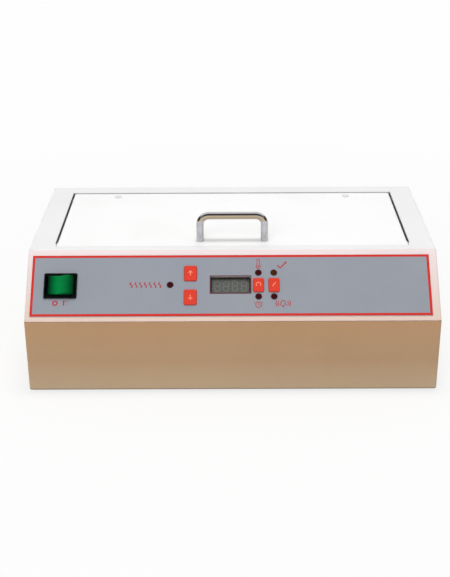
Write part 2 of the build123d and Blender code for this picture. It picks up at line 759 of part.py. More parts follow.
def switch_housing():
    """Frame and box of the mains switch, snapped into the panel."""
    top = OVERLAY + BEZEL_PROUD
    bezel = panel_block(SWITCH_U, SWITCH_V, BEZEL_WIDTH, BEZEL_HEIGHT, OVERLAY, top, 1.5)
    outer = bezel.faces().sort_by(Axis(PANEL.origin, PANEL.z_dir))[-1].edges()
    bezel = fillet(outer, 0.8)
    size = (SWITCH_BODY_WIDTH, SWITCH_BODY_HEIGHT)
    body = panel_block(SWITCH_U, SWITCH_V, *size, -SWITCH_DEPTH, top - 0.5)
    size = (SWITCH_WELL_WIDTH, SWITCH_WELL_HEIGHT)
    well = panel_block(SWITCH_U, SWITCH_V, *size, top - SWITCH_WELL_DEPTH, top + 1)
    return bezel + body - well - rocker_pin(ROCKER_PIN_RADIUS + PIN_CLEARANCE, SWITCH_BODY_HEIGHT)


def rocker_pin(radius, length):
    """Round bar on the rocker's axis, which runs up the slope."""
    return PANEL * Pos(SWITCH_U, SWITCH_V, ROCKER_PIVOT) * Rot(90, 0, 0) * Cylinder(radius, length)


def switch_rocker():
    """Green rocker with a shallow V across its face, resting with its left side pressed in."""
    rise = tan(radians(ROCKER_TILT)) * ROCKER_RADIUS
    top = ROCKER_MIDDLE - ROCKER_PIVOT
    outline = [
        (-ROCKER_RADIUS, -ROCKER_DROP),
        (ROCKER_RADIUS, -ROCKER_DROP),
        (ROCKER_RADIUS, top + rise),
        (0, top),
        (-ROCKER_RADIUS, top + rise),
    ]
    face = make_face(Polyline(*outline, close=True)) & Circle(ROCKER_RADIUS)
    body = extrude(face, ROCKER_WIDTH / 2, both=True)
    crests = [edge for edge in body.edges() if edge.center().Y > top - 1 and edge.length < 30]
    body = fillet(crests, ROCKER_SOFT)
    body = PANEL * Pos(SWITCH_U, SWITCH_V, ROCKER_PIVOT) * Rot(90, 0, 0) * Rot(0, 0, ROCKER_TILT) * body
    return body + rocker_pin(ROCKER_PIN_RADIUS, ROCKER_WIDTH + 2 * ROCKER_PIN_REACH)


def switch_blades():
    """Four push-on blades at the back of the mains switch."""
    pieces = []
    for du in (-BLADE_SPREAD, BLADE_SPREAD):
        for dv in (-4.0, 4.0):
            size = (BLADE_THICKNESS, BLADE_WIDTH)
            low = -SWITCH_DEPTH - BLADE_LENGTH
            pieces.append(
                panel_block(SWITCH_U + du, SWITCH_V + dv, *size, low, -SWITCH_DEPTH)
            )
    return pieces


def inlet_outline(width, height, corner):
    """Outline of the mains socket, with its two upper corners cut off."""
    x, z = width / 2, height / 2
    points = [(-x, -z), (x, -z), (x, z - corner), (x - corner, z), (corner - x, z), (-x, z - corner)]
    return make_face(Polyline(*points, close=True))


def inlet_block(face, y0, y1):
    """A face of the mains inlet, drawn out between two depths from the back."""
    solid = Plane(origin=(INLET_X, y1, INLET_Z), x_dir=(1, 0, 0), z_dir=(0, -1, 0)) * face
    return extrude(solid, y1 - y0, dir=(0, -1, 0))


def mains_inlet():
    """Mains socket with its flange on the back wall."""
    flange = RectangleRounded(INLET_FLANGE_WIDTH, INLET_FLANGE_HEIGHT, 4)
    out = REAR_Y + REAR_PROUD
    body = inlet_outline(INLET_BODY_WIDTH, INLET_BODY_HEIGHT, INLET_CORNER)
    well = inlet_outline(INLET_WELL_WIDTH, INLET_WELL_HEIGHT, INLET_CORNER)
    solid = inlet_block(flange, REAR_Y, out)
    solid = fillet(solid.edges().group_by(Axis.Y)[-1], 0.8)
    solid += inlet_block(body, REAR_Y - INLET_BODY_DEPTH, REAR_Y + 0.5)
    solid -= inlet_block(well, out - INLET_WELL_DEPTH, out + 1)
    for side in (-1, 1):
        x = INLET_X + side * INLET_SCREW_X
        solid -= bar_y(INLET_SCREW_RADIUS, x, REAR_Y - 1, out + 1, INLET_Z)
        solid -= bar_y(INLET_SCREW_RADIUS + 1.3, x, out - 1.2, out + 1, INLET_Z)
    for x, z in INLET_PIN_PLACES:
        solid -= inlet_pin(x, z)
    return solid


def inlet_pin(x, z):
    """One flat pin of the mains inlet, with its blade behind."""
    tip = REAR_Y + REAR_PROUD - 2.0
    root = REAR_Y - INLET_BODY_DEPTH - 6
    return box(
        INLET_X + x - 1,
        INLET_X + x + 1,
        root,
        tip,
        INLET_Z + z - 2,
        INLET_Z + z + 2,
    )


def inlet_pins():
    """Three pins of the mains inlet."""
    return [inlet_pin(x, z) for x, z in INLET_PIN_PLACES]


def inlet_screws():
    """Screws of the mains inlet, with nuts inside the case."""
    pieces = []
    out = REAR_Y + REAR_PROUD
    for side in (-1, 1):
        x = INLET_X + side * INLET_SCREW_X
        head = bar_y(INLET_SCREW_RADIUS + 1.2, x, out - 1.2, out - 0.1, INLET_Z)
        pieces.append(head + bar_y(INLET_SCREW_RADIUS, x, REAR_Y - 6, out - 1.2, INLET_Z))
        nut = hexagon(5.5, x, 0, 0, 2.4)
        nut = Pos(x, REAR_Y - SHEET, INLET_Z) * Rot(90, 0, 0) * Pos(-x, 0, 0) * nut
        pieces.append(nut - bar_y(INLET_SCREW_RADIUS, x, REAR_Y - 10, REAR_Y, INLET_Z))
    return pieces


def tub_block(inset, top):
    """The chamber's hollow, drawn in by inset, with its deep drawn corners."""
    block = box(
        -TUB_HALF_X + inset,
        TUB_HALF_X - inset,
        TUB_Y0 + inset,
        TUB_Y1 - inset,
        TUB_FLOOR + inset,
        top,
    )
    block = fillet(block.edges().filter_by(Axis.Z), TUB_CORNER - inset)
    return fillet(block.edges().group_by(Axis.Z)[0], TUB_FOOT_RADIUS - inset)


def chamber_tub():
    """Deep drawn stainless tub; its rim lies under the folded edge of the lid opening."""
    x, y0, y1 = OPENING_HALF_X + SHEET, OPENING_Y0 - SHEET, OPENING_Y1 + SHEET
    rim = box(-x, x, y0, y1, FLANGE_Z - TUB_SHEET, FLANGE_Z)
    tub = tub_block(-TUB_SHEET, FLANGE_Z) + rim - tub_block(0, FLANGE_Z + 1)
    mouth = [
        edge
        for edge in tub.edges()
        if abs(edge.center().Z - FLANGE_Z) < 0.01 and abs(edge.center().X) < TUB_HALF_X + 0.1
    ]
    mouth = [edge for edge in mouth if TUB_Y0 - 0.1 < edge.center().Y < TUB_Y1 + 0.1]
    tub = fillet(mouth, TUB_SHEET * 0.9)
    for x, y in stud_places():
        tub += post(STUD_RADIUS, x, y, STUD_END, TUB_UNDER + TUB_SHEET / 2)
    return tub


def stud_places():
    """x and y of the studs under the chamber."""
    return [(x, TUB_MIDDLE_Y + side * ELEMENT_PITCH) for x in BAR_X for side in (-1, 1)]


def tub_clips():
    """Angle clips on the opening's folded edge that carry the tub's rim."""
    pieces = []
    low = FLANGE_Z - TUB_SHEET - SHEET
    for wall, out in ((OPENING_Y0 - SHEET, -1), (OPENING_Y1 + SHEET, 1)):
        for x in (-CLIP_X, CLIP_X):
            x0, x1 = x - CLIP_WIDTH / 2, x + CLIP_WIDTH / 2
            leg = box(x0, x1, wall, wall + out * SHEET, low, FLANGE_Z + CLIP_HEIGHT)
            foot = box(x0, x1, wall - out * CLIP_FOOT, wall + out * SHEET, low, low + SHEET)
            pieces.append(leg + foot)
    return pieces


def chamber_gasket():
    """Silicone seal round the chamber's mouth."""
    def ring(out):
        size = (2 * (TUB_HALF_X + out), TUB_Y1 - TUB_Y0 + 2 * out)
        face = Pos(0, TUB_MIDDLE_Y, FLANGE_Z) * RectangleRounded(*size, TUB_CORNER + out)
        return extrude(face, GASKET_HEIGHT)

    seal = ring(GASKET_INSET + GASKET_WIDTH) - ring(GASKET_INSET)
    return fillet(seal.edges().group_by(Axis.Z)[-1], 0.9)


def heater_element():
    """Sheathed heating element, bent to and fro under the chamber, with its ends to the front."""
    rows = [ELEMENT_Y0 + ELEMENT_PITCH * n for n in range(ELEMENT_RUNS)]
    front = CASING_Y0 - TERMINAL_REACH
    points = [(ELEMENT_LEG_X, front), (ELEMENT_LEG_X, rows[0])]
    for n, y in enumerate(rows[:-1]):
        x = ELEMENT_LEFT_X if n % 2 else ELEMENT_HALF_X
        points += [(x, y), (x, rows[n + 1])]
    points += [(ELEMENT_RETURN_X, rows[-1]), (ELEMENT_RETURN_X, front)]
    path = Pos(0, 0, ELEMENT_Z) * FilletPolyline(*points, radius=ELEMENT_BEND)
    start = Plane(origin=(ELEMENT_LEG_X, front, ELEMENT_Z), z_dir=(0, 1, 0))
    return sweep(start * Circle(ELEMENT_RADIUS), path=path)


def heater_bars():
    """Bars across the heating element that hold it up against the chamber."""
    pieces = []
    half = BAR_LENGTH / 2
    for x in BAR_X:
        bar = box(
            x - BAR_WIDTH / 2,
            x + BAR_WIDTH / 2,
            TUB_MIDDLE_Y - half,
            TUB_MIDDLE_Y + half,
            BAR_TOP - BAR_THICKNESS,
            BAR_TOP,
        )
        for side in (-1, 1):
            y = TUB_MIDDLE_Y + side * ELEMENT_PITCH
            bar -= post(STUD_RADIUS, x, y, BAR_TOP - 5, BAR_TOP + 1)
        pieces.append(bar)
    return pieces


def heater_nuts():
    """Nuts under the bars."""
    top = BAR_TOP - BAR_THICKNESS
    pieces = []
    for x, y in stud_places():
        nut = hexagon(NUT_FLATS, x, y, top - NUT_HEIGHT, top)
        pieces.append(nut - post(STUD_RADIUS, x, y, top - 5, top + 1))
    return pieces


def heater_collars():
    """Ceramic collars where the element's ends leave the casing."""
    pieces = []
    for x in (ELEMENT_LEG_X, ELEMENT_RETURN_X):
        y = CASING_Y0 - TERMINAL_LENGTH
        collar = bar_y(ELEMENT_RADIUS + 2.5, x, y, CASING_Y0, ELEMENT_Z)
        collar = fillet(collar.edges().group_by(Axis.Y)[0], 1.0)
        pieces.append(collar - bar_y(ELEMENT_RADIUS + TOUCH, x, y - 1, CASING_Y0 + 1, ELEMENT_Z))
    return pieces


def thermal_cutout():
    """Bimetal cut-out against the chamber's underside."""
    x, y = CUTOUT_X, TUB_MIDDLE_Y
    plate = box(x - 12, x + 12, y - 4, y + 4, TUB_UNDER - 1, TUB_UNDER)
    can = post(7, x, y, TUB_UNDER - 8, TUB_UNDER)
    low, high = TUB_UNDER - 12, TUB_UNDER - 7
    blades = [box(x + s * 3 - 0.4, x + s * 3 + 0.4, y - 3, y + 3, low, high) for s in (-1, 1)]
    return fuse([plate, can, *blades])


def temperature_sensor():
    """Sensor tube held against the chamber's underside by a saddle."""
    z = TUB_UNDER - SENSOR_RADIUS - TOUCH
    tube = bar_x(SENSOR_RADIUS, SENSOR_X0, SENSOR_X1, TUB_MIDDLE_Y, z)
    x = (SENSOR_X0 + SENSOR_X1) / 2
    low = z - SENSOR_RADIUS - 1
    out = SENSOR_RADIUS + 1
    y = TUB_MIDDLE_Y
    saddle = box(x - 5, x + 5, y - out, y + out, low, TUB_UNDER)
    saddle += box(x - 5, x + 5, y - out - 5, y + out + 5, TUB_UNDER - 1, TUB_UNDER)
    saddle -= box(x - 6, x + 6, y - SENSOR_RADIUS, y + SENSOR_RADIUS, z, TUB_UNDER + 1)
    return [tube, saddle - bar_x(SENSOR_RADIUS, x - 6, x + 6, y, z)]


def insulation_casing():
    """Open sheet box round the chamber's insulation, standing on the case's floor."""
    size = (-CASING_HALF_X, CASING_HALF_X, CASING_Y0, CASING_Y1, FLOOR_Z, CASING_TOP)
    outer = box(*size)
    outer = fillet(outer.edges().filter_by(Axis.Z) + outer.edges().group_by(Axis.Z)[0], 2 * CASING_SHEET)
    s = CASING_SHEET
    inner = box(
        -CASING_HALF_X + s, CASING_HALF_X - s, CASING_Y0 + s, CASING_Y1 - s, FLOOR_Z + s, CASING_TOP + 1
    )
    inner = fillet(inner.edges().filter_by(Axis.Z) + inner.edges().group_by(Axis.Z)[0], s)
    holes = [
        bar_y(ELEMENT_RADIUS + TOUCH, x, CASING_Y0 - 1, CASING_Y0 + 3, ELEMENT_Z)
        for x in (ELEMENT_LEG_X, ELEMENT_RETURN_X)
    ]
    return outer - inner - holes


def insulation_wool():
    """Mineral wool between the casing and the chamber."""
    gap = CASING_SHEET + WOOL_GAP
    block = box(
        -CASING_HALF_X + gap,
        CASING_HALF_X - gap,
        CASING_Y0 + gap,
        CASING_Y1 - gap,
        FLOOR_Z + CASING_SHEET,
        CASING_TOP - 1,
    )
    block = fillet(block.edges().filter_by(Axis.Z) + block.edges().group_by(Axis.Z)[0], 2.0)
    block -= tub_block(-TUB_SHEET - WOOL_GAP, CASING_TOP + 1)
    pocket = box(
        ELEMENT_RETURN_X - 6,
        ELEMENT_HALF_X + 6,
        TUB_Y0,
        TUB_Y1,
        TUB_UNDER - POCKET_DEPTH,
        TUB_UNDER + 4,
    )
    for x in (ELEMENT_LEG_X, ELEMENT_RETURN_X):
        block -= bar_y(ELEMENT_RADIUS + WOOL_GAP, x, CASING_Y0 - 1, TUB_Y0 + 6, ELEMENT_Z)
    return block - pocket


def power_places():
    """x and y of the power board's spacers."""
    return [(x, y) for x in (POWER_X0 + 5, POWER_X1 - 5) for y in (POWER_Y0 + 5, POWER_Y1 - 5)]


def power_board():
    """Printed circuit board on the case's floor."""
    board = box(POWER_X0, POWER_X1, POWER_Y0, POWER_Y1, POWER_Z, POWER_Z + BOARD_THICKNESS)
    return board - [post(BOARD_SCREW_RADIUS, x, y, 0, POWER_Z + 5) for x, y in power_places()]


def power_spacers():
    """Spacers and screws of the power board."""
    pieces = []
    for x, y in power_places():
        spacer = post(SPACER_RADIUS, x, y, FLOOR_Z, POWER_Z)
        stud = post(BOARD_SCREW_RADIUS, x, y, POWER_Z - 1, POWER_Z + BOARD_THICKNESS + 0.5)
        top = POWER_Z + BOARD_THICKNESS
        pieces.append(spacer + stud + post(BOARD_SCREW_RADIUS + 1.3, x, y, top, top + 2))
    return pieces


def transformer():
    """Encapsulated transformer on the power board."""
    z = POWER_Z + BOARD_THICKNESS
    body = box(POWER_X0 + 10, POWER_X0 + 46, POWER_Y0 + 7, POWER_Y1 - 7, z, z + 27)
    return fillet(body.edges().filter_by(Axis.Z) + body.edges().group_by(Axis.Z)[-1], 1.5)


def relay():
    """Relay that switches the heating element."""
    z = POWER_Z + BOARD_THICKNESS
    body = box(POWER_X0 + 52, POWER_X0 + 72, POWER_Y0 + 12, POWER_Y0 + 28, z, z + 16)
    return fillet(body.edges().filter_by(Axis.Z) + body.edges().group_by(Axis.Z)[-1], 0.8)


def terminal_block():
    """Screw terminals at the right-hand edge of the power board."""
    z = POWER_Z + BOARD_THICKNESS
    x0, x1 = POWER_X1 - 18, POWER_X1 - 7
    half = TERMINAL_PITCH * TERMINALS / 2
    y = (POWER_Y0 + POWER_Y1) / 2
    block = box(x0, x1, y - half, y + half, z, z + 11)
    for n in range(TERMINALS):
        middle = y - half + TERMINAL_PITCH * (n + 0.5)
        block -= post(1.6, x0 + 4, middle, z + 7, z + 12)
        block -= box(x1 - 5, x1 + 1, middle - 1.5, middle + 1.5, z + 2, z + 5)
    return block


def hinge_pins():
    """Pins through the opening's folded edges, with their heads inside the case."""
    wall = OPENING_HALF_X + SHEET
    tip = LID_X - BUSH_LENGTH - 0.3
    shank = bar_x(PIN_RADIUS, tip, wall, PIN_Y, PIN_Z)
    shank = chamfer(shank.edges().group_by(Axis.X)[0], 0.5)
    head = bar_x(PIN_HEAD_RADIUS, wall, wall + PIN_HEAD, PIN_Y, PIN_Z)
    return both_sides(shank + head)


def lid_skin():
    """The lid's folded skin, with a lip in front that lies over the edge of the opening."""
    def block(inset, top):
        solid = box(
            -LID_X + inset,
            LID_X - inset,
            LID_Y0 + inset,
            LID_Y1 - inset,
            TOP_Z - LID_FLANGE,
            top,
        )
        folds = solid.edges().filter_by(Axis.Z) + solid.edges().group_by(Axis.Z)[-1]
        return fillet(folds, BEND - inset)

    skin = block(0, TOP_Z)
    lip = box(-LID_X, LID_X, OPENING_Y0 - LIP, LID_Y0 + BEND, TOP_Z - SHEET, TOP_Z)
    front = lip.faces().sort_by(Axis.Y)[0]
    lip = fillet(front.edges().filter_by(Axis.Z), BEND)
    lip = fillet(lip.edges().group_by(Axis.Z)[-1].filter_by(Axis.X).sort_by(Axis.Y)[0], 0.5)
    skin = skin + lip - block(SHEET, TOP_Z - SHEET)
    low, back_low = TOP_Z - LID_FLANGE, TOP_Z - LID_BACK_FLANGE
    cuts = [box(-PAN_X, PAN_X, LID_Y1 - 2 * SHEET, LID_Y1 + 1, low - 1, back_low)]
    for side in (-1, 1):
        cuts.append(bar_x(BUSH_RADIUS, side * (LID_X - 4), side * (LID_X + 1), PIN_Y, PIN_Z))
        cuts.append(post(RIVET_RADIUS, side * RIVET_X, PIN_Y, TOP_Z - 5, TOP_Z + 1))
        cuts.append(post(HANDLE_SCREW_RADIUS, side * HANDLE_SPAN / 2, HANDLE_Y, TOP_Z - 5, TOP_Z + 1))
    return skin - cuts


def pan_block(inset, top):
    """The lid's lower plate as a block, drawn in by inset, with its pressed middle."""
    block = box(-PAN_X + inset, PAN_X - inset, PAN_Y0 + inset, PAN_Y1 - inset, LID_BOTTOM + inset, top)
    folds = block.edges().filter_by(Axis.Z) + block.edges().group_by(Axis.Z)[0]
    block = fillet(folds, 2 * PAN_SHEET - inset if inset < PAN_SHEET * 2 else PAN_SHEET / 2)
    out = PLUG_INSET + inset
    size = (2 * (TUB_HALF_X - out), TUB_Y1 - TUB_Y0 - 2 * out)
    face = Pos(0, TUB_MIDDLE_Y, LID_BOTTOM - PLUG_DROP + inset) * RectangleRounded(*size, PLUG_RADIUS)
    plug = extrude(face, PLUG_DROP + 1)
    plug = fillet(plug.edges().group_by(Axis.Z)[0], 2.0)
    return block + plug


def lid_pan():
    """Stainless lower plate of the lid, pressed down in the middle."""
    pan = pan_block(0, PAN_TOP) - pan_block(PAN_SHEET, PAN_TOP + 1)
    half = BRACKET_X1 - 4
    return pan + box(-half, half, PAN_Y1 - PAN_SHEET, PAN_Y1, PAN_TOP - 1, PAN_BACK_TOP)


def lid_wool():
    """Mineral wool in the lid."""
    wool = pan_block(PAN_SHEET + WOOL_GAP, WOOL_TOP)
    for side in (-1, 1):
        x = side * BRACKET_X1
        wool -= box(x - side * 3, x + side * 3, PIN_Y - EAR_FRONT - 1, PAN_Y1, PAN_TOP - 1, TOP_Z)
    return wool


def hinge_brackets():
    """Steel brackets under the lid's skin; the end of each is folded down to take a bush."""
    top = TOP_Z - SHEET
    plate = box(
        BRACKET_X0, BRACKET_X1, PIN_Y - BRACKET_FRONT, PIN_Y + BRACKET_BACK, top - BRACKET_SHEET, top
    )
    ear = box(
        BRACKET_X1 - BRACKET_SHEET,
        BRACKET_X1,
        PIN_Y - EAR_FRONT,
        PIN_Y + BRACKET_BACK,
        PAN_TOP + 0.1,
        top,
    )
    bracket = plate + ear
    fold = bracket.edges().filter_by(Axis.Y).group_by(Axis.X)[-1].sort_by(Axis.Z)[-1]
    bracket = fillet(fold, BRACKET_FOLD)
    bracket -= bar_x(BUSH_RADIUS, BRACKET_X1 - 5, BRACKET_X1 + 1, PIN_Y, PIN_Z)
    return both_sides(bracket - post(RIVET_RADIUS, RIVET_X, PIN_Y, top - 5, top + 1))


def hinge_bushes():
    """Bronze bushes that turn on the hinge pins."""
    x1 = LID_X
    bush = bar_x(BUSH_RADIUS, x1 - BUSH_LENGTH, x1, PIN_Y, PIN_Z)
    bore = bar_x(PIN_RADIUS + PIN_CLEARANCE, x1 - BUSH_LENGTH - 1, x1 + 1, PIN_Y, PIN_Z)
    return both_sides(bush - bore)


def hinge_rivets():
    """Round headed rivets that hold the brackets to the lid's skin."""
    under = TOP_Z - SHEET - BRACKET_SHEET
    head = post(RIVET_HEAD_RADIUS, RIVET_X, PIN_Y, TOP_Z, TOP_Z + RIVET_HEAD)
    head = fillet(head.edges().group_by(Axis.Z)[-1], RIVET_HEAD * 0.8)
    shank = post(RIVET_RADIUS, RIVET_X, PIN_Y, under - RIVET_TAIL, TOP_Z)
    tail = post(RIVET_RADIUS + 1.2, RIVET_X, PIN_Y, under - RIVET_TAIL, under)
    return both_sides(fuse([head, shank, tail]))


def lid_handle():
    """Handle bent from round bar, tapped in both ends."""
    half, top = HANDLE_SPAN / 2, TOP_Z + HANDLE_RISE
    points = [(-half, TOP_Z), (-half, top), (half, top), (half, TOP_Z)]
    path = Plane.XZ * FilletPolyline(*points, radius=HANDLE_BEND)
    path = Pos(0, HANDLE_Y, 0) * path
    handle = sweep(Plane(origin=(-half, HANDLE_Y, TOP_Z)) * Circle(HANDLE_ROD / 2), path=path)
    bores = [
        post(HANDLE_SCREW_RADIUS, side * half, HANDLE_Y, TOP_Z - 1, TOP_Z + HANDLE_BORE)
        for side in (-1, 1)
    ]
    return handle - bores


def handle_screws():
    """Screws from inside the lid into the handle."""
    under = TOP_Z - SHEET
    x = HANDLE_SPAN / 2
    head = post(HANDLE_HEAD_RADIUS, x, HANDLE_Y, under - HANDLE_SCREW_HEAD, under)
    head = fillet(head.edges().group_by(Axis.Z)[0], 1.2)
    return both_sides(head + post(HANDLE_SCREW_RADIUS, x, HANDLE_Y, under - 1, TOP_Z + HANDLE_SCREW))


def parts():
    """Every sub-part by name."""
    named = {
        "base_shell": base_shell(),
        "feet": feet(),
        "foot_screws": foot_screws(),
        "top_cover": top_cover(),
        "cover_screws": cover_screws(),
        "control_overlay": control_overlay(),
        "display_window": display_window(),
        "display_module": display_module(),
        "display_segments": display_segments(),
        "control_board": control_board(),
        "board_spacers": board_spacers(),
        "board_screws": board_screws(),
        "key_switches": key_switches(),
        "buzzer": buzzer(),
        "switch_housing": switch_housing(),
        "switch_rocker": switch_rocker(),
        "switch_blades": switch_blades(),
        "mains_inlet": mains_inlet(),
        "inlet_pins": inlet_pins(),
        "inlet_screws": inlet_screws(),
        "chamber_tub": chamber_tub(),
        "tub_clips": tub_clips(),
        "chamber_gasket": chamber_gasket(),
        "heater_element": heater_element(),
        "heater_bars": heater_bars(),
        "heater_nuts": heater_nuts(),
        "heater_collars": heater_collars(),
        "thermal_cutout": thermal_cutout(),
        "temperature_sensor": temperature_sensor(),
        "insulation_casing": insulation_casing(),
        "insulation_wool": insulation_wool(),
        "power_board": power_board(),
        "power_spacers": power_spacers(),
        "transformer": transformer(),
        "relay": relay(),
        "terminal_block": terminal_block(),
        "hinge_pins": hinge_pins(),
        "lid_skin": lid_skin(),
        "lid_pan": lid_pan(),
        "lid_wool": lid_wool(),
        "hinge_brackets": hinge_brackets(),
        "hinge_bushes": hinge_bushes(),
        "hinge_rivets": hinge_rivets(),
        "lid_handle": lid_handle(),
        "handle_screws": handle_screws(),
    }
    for name, u, v, width, height in key_places():
        named[name] = key(u, v, width, height)
    for name, u, v in lamp_places():
        named[name] = lamp(u, v)
    return named


def main():
    os.makedirs("parts", exist_ok=True)
    for name, shape in parts().items():
        if isinstance(shape, list):
            shape = Compound(shape) if len(shape) > 1 else shape[0]
        export_step(shape, f"parts/{name}.step")


main()
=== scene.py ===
# %% [markdown]
# # A bench-top dry heat sterilizer
#
# The real object is a low folded steel case with a sloping control panel. Its insulated lid swings up
# at the back over a steel chamber, and small instruments lie in the chamber while hot air sterilizes
# them. The construction model already holds every plate, screw and hinge at its true size, so this
# lesson only dresses it: paints, metals, moulded plastics, the printed signs on the panel, and light.
#
# The imported model is loaded first and stays fixed.

import json
import math

import bpy
from mathutils import Matrix, Vector
from mathutils.bvhtree import BVHTree


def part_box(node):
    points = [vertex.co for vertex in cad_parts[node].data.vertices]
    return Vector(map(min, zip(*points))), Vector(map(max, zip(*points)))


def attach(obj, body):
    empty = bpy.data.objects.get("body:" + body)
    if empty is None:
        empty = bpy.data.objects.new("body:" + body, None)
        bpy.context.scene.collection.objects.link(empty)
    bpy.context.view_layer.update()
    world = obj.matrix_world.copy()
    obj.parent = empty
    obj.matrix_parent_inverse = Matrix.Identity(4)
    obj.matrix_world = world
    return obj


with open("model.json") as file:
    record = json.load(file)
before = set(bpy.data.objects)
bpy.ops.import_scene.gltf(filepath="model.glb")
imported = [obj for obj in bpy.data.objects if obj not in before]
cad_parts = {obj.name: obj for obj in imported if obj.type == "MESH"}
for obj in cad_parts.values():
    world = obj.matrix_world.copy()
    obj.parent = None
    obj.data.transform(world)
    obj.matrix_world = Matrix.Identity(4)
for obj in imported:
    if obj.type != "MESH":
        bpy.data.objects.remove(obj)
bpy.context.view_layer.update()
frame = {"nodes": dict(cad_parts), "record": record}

# %% [markdown]
# ## The panel's own directions
#
# The panel slopes, so its signs are laid out flat, as a printer would draw them: `u` runs to the right
# and `v` up the slope, in millimetres from the middle of the fold at the panel's foot. One matrix then
# carries a flat drawing to its place. The fold's place and the slope are the construction model's own
# numbers. As a check, the slope of the grey film that covers the panel is worked out from the film's
# box. The film's thickness makes the two differ by a few hundredths of a degree.

# %% From the flat drawing to the sloping panel
MM = 0.001
FOLD = Vector((0.0, -0.120, 0.078))
SLOPE = Vector((0.0, 0.7203, 0.6937)).normalized()
OUTWARD = Vector((1.0, 0.0, 0.0)).cross(SLOPE)
PANEL = Matrix((
    (1.0, SLOPE.x, OUTWARD.x, FOLD.x),
    (0.0, SLOPE.y, OUTWARD.y, FOLD.y),
    (0.0, SLOPE.z, OUTWARD.z, FOLD.z),
    (0.0, 0.0, 0.0, 1.0),
))
film_low, film_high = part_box("control_overlay")
film_size = film_high - film_low
print("panel slope in degrees:", round(math.degrees(math.atan2(SLOPE.z, SLOPE.y)), 2))
print("slope of the film's box:", round(math.degrees(math.atan2(film_size.z, film_size.y)), 2))

# %% [markdown]
# ## The camera
#
# The viewer stands in front, a little over a metre away and above the object, and looks down at it.
# The camera is a plain one with a long lens, so that the case's sides run together only slightly. Its
# focal length is written in pixels of the picture and turned into millimetres. Its three directions
# are worked out from the angles, and written straight into its matrix.

# %% Camera
PICTURE_HEIGHT = 577
FOCAL_PIXELS = 1126.0
SENSOR_MM = 36.0
CAMERA_PLACE = Vector((-0.0035, -1.0858, 0.5543))
LOOK_DOWN, LOOK_ASIDE, TILT = (math.radians(a) for a in (24.58, 0.22, 0.317))


def camera_turn(down, aside, tilt):
    """The camera's turn, with its X to the picture's right, its Y up and its Z to the viewer."""
    level = Vector((math.cos(aside), math.sin(aside), 0.0))
    ahead = Vector((-math.sin(aside), math.cos(aside), 0.0))
    up = Vector((0.0, 0.0, 1.0))
    look = ahead * math.cos(down) - up * math.sin(down)
    drop = -(up * math.cos(down) + ahead * math.sin(down))
    right = level * math.cos(tilt) + drop * math.sin(tilt)
    below = drop * math.cos(tilt) - level * math.sin(tilt)
    return Matrix((right, -below, -look)).transposed()


camera_data = bpy.data.cameras.new("viewer")
camera_data.sensor_width = SENSOR_MM
camera_data.lens = SENSOR_MM * FOCAL_PIXELS / PICTURE_HEIGHT
camera = bpy.data.objects.new("viewer", camera_data)
bpy.context.scene.collection.objects.link(camera)
turn = camera_turn(LOOK_DOWN, LOOK_ASIDE, TILT).to_4x4()
camera.matrix_world = Matrix.Translation(CAMERA_PLACE) @ turn
bpy.context.scene.camera = camera
bpy.context.scene.view_settings.view_transform = "Standard"
print("lens in mm:", round(camera_data.lens, 2))

# %% [markdown]
# ## Helpers for node trees
#
# Every finish below is a small tree of nodes, and a few helpers keep those trees short. `screen` takes
# a colour as a screen shows it. `add` makes a node and fills its sockets with numbers or links. The
# others do what nearly every finish needs: sums and products, ranges, layers of colour and noise.

# %% Colours, nodes and links
def screen(red, green, blue):
    """A colour given as 0-255 screen values, in the linear values that a socket takes."""
    parts = [c / 255 for c in (red, green, blue)]
    line = [c / 12.92 if c <= 0.04045 else ((c + 0.055) / 1.055) ** 2.4 for c in parts]
    return (*line, 1.0)


def feed(tree, socket, value):
    """Puts a number or colour in a socket, or links another node's output to it."""
    if isinstance(value, bpy.types.NodeSocket):
        tree.links.new(value, socket)
    else:
        socket.default_value = value


def add(tree, kind, settings=None, *values, **inputs):
    """Adds a node. values fill its sockets in order, inputs fill them by name, with _ for a space."""
    made = tree.nodes.new(kind)
    for name, value in (settings or {}).items():
        setattr(made, name, value)
    for socket, value in zip(made.inputs, values):
        feed(tree, socket, value)
    for name, value in inputs.items():
        feed(tree, made.inputs[name.replace("_", " ")], value)
    return made


print("a white card in linear values:", [round(c, 3) for c in screen(250, 250, 250)[:3]])

# %% Sums, ranges, layers of colour and noise
NOISE_LOW, NOISE_HIGH = 0.3, 0.7


def sums(tree, operation, *values):
    """One Math node's result."""
    return add(tree, "ShaderNodeMath", {"operation": operation}, *values).outputs[0]


def times(tree, product, *values):
    """The product of two or more values."""
    for value in values:
        product = sums(tree, "MULTIPLY", product, value)
    return product


def parts_of(tree, vector):
    """A vector's X, Y and Z."""
    return add(tree, "ShaderNodeSeparateXYZ", Vector=vector).outputs


def spread(tree, value, low, high, to_low=0.0, to_high=1.0):
    """Stretches low..high to to_low..to_high, and holds the ends."""
    return add(tree, "ShaderNodeMapRange", Value=value, From_Min=low, From_Max=high,
               To_Min=to_low, To_Max=to_high).outputs[0]


def cloudy(tree, cloud, to_low=0.0, to_high=1.0):
    """Stretches noise to to_low..to_high. Little of it lies outside NOISE_LOW..NOISE_HIGH."""
    return spread(tree, cloud, NOISE_LOW, NOISE_HIGH, to_low, to_high)


def tint(tree, share, first, second, way="MIX"):
    """A Mix node for colours: first where share is 0, second where it is 1."""
    made = add(tree, "ShaderNodeMix", {"data_type": "RGBA", "blend_type": way}, share)
    feed(tree, made.inputs[6], first)
    feed(tree, made.inputs[7], second)
    return made.outputs[2]


def lay(tree, base, mask, amount, colour, way="MIX"):
    """Lays that amount of a colour over base, where mask is 1."""
    return tint(tree, times(tree, mask, amount), base, colour, way)


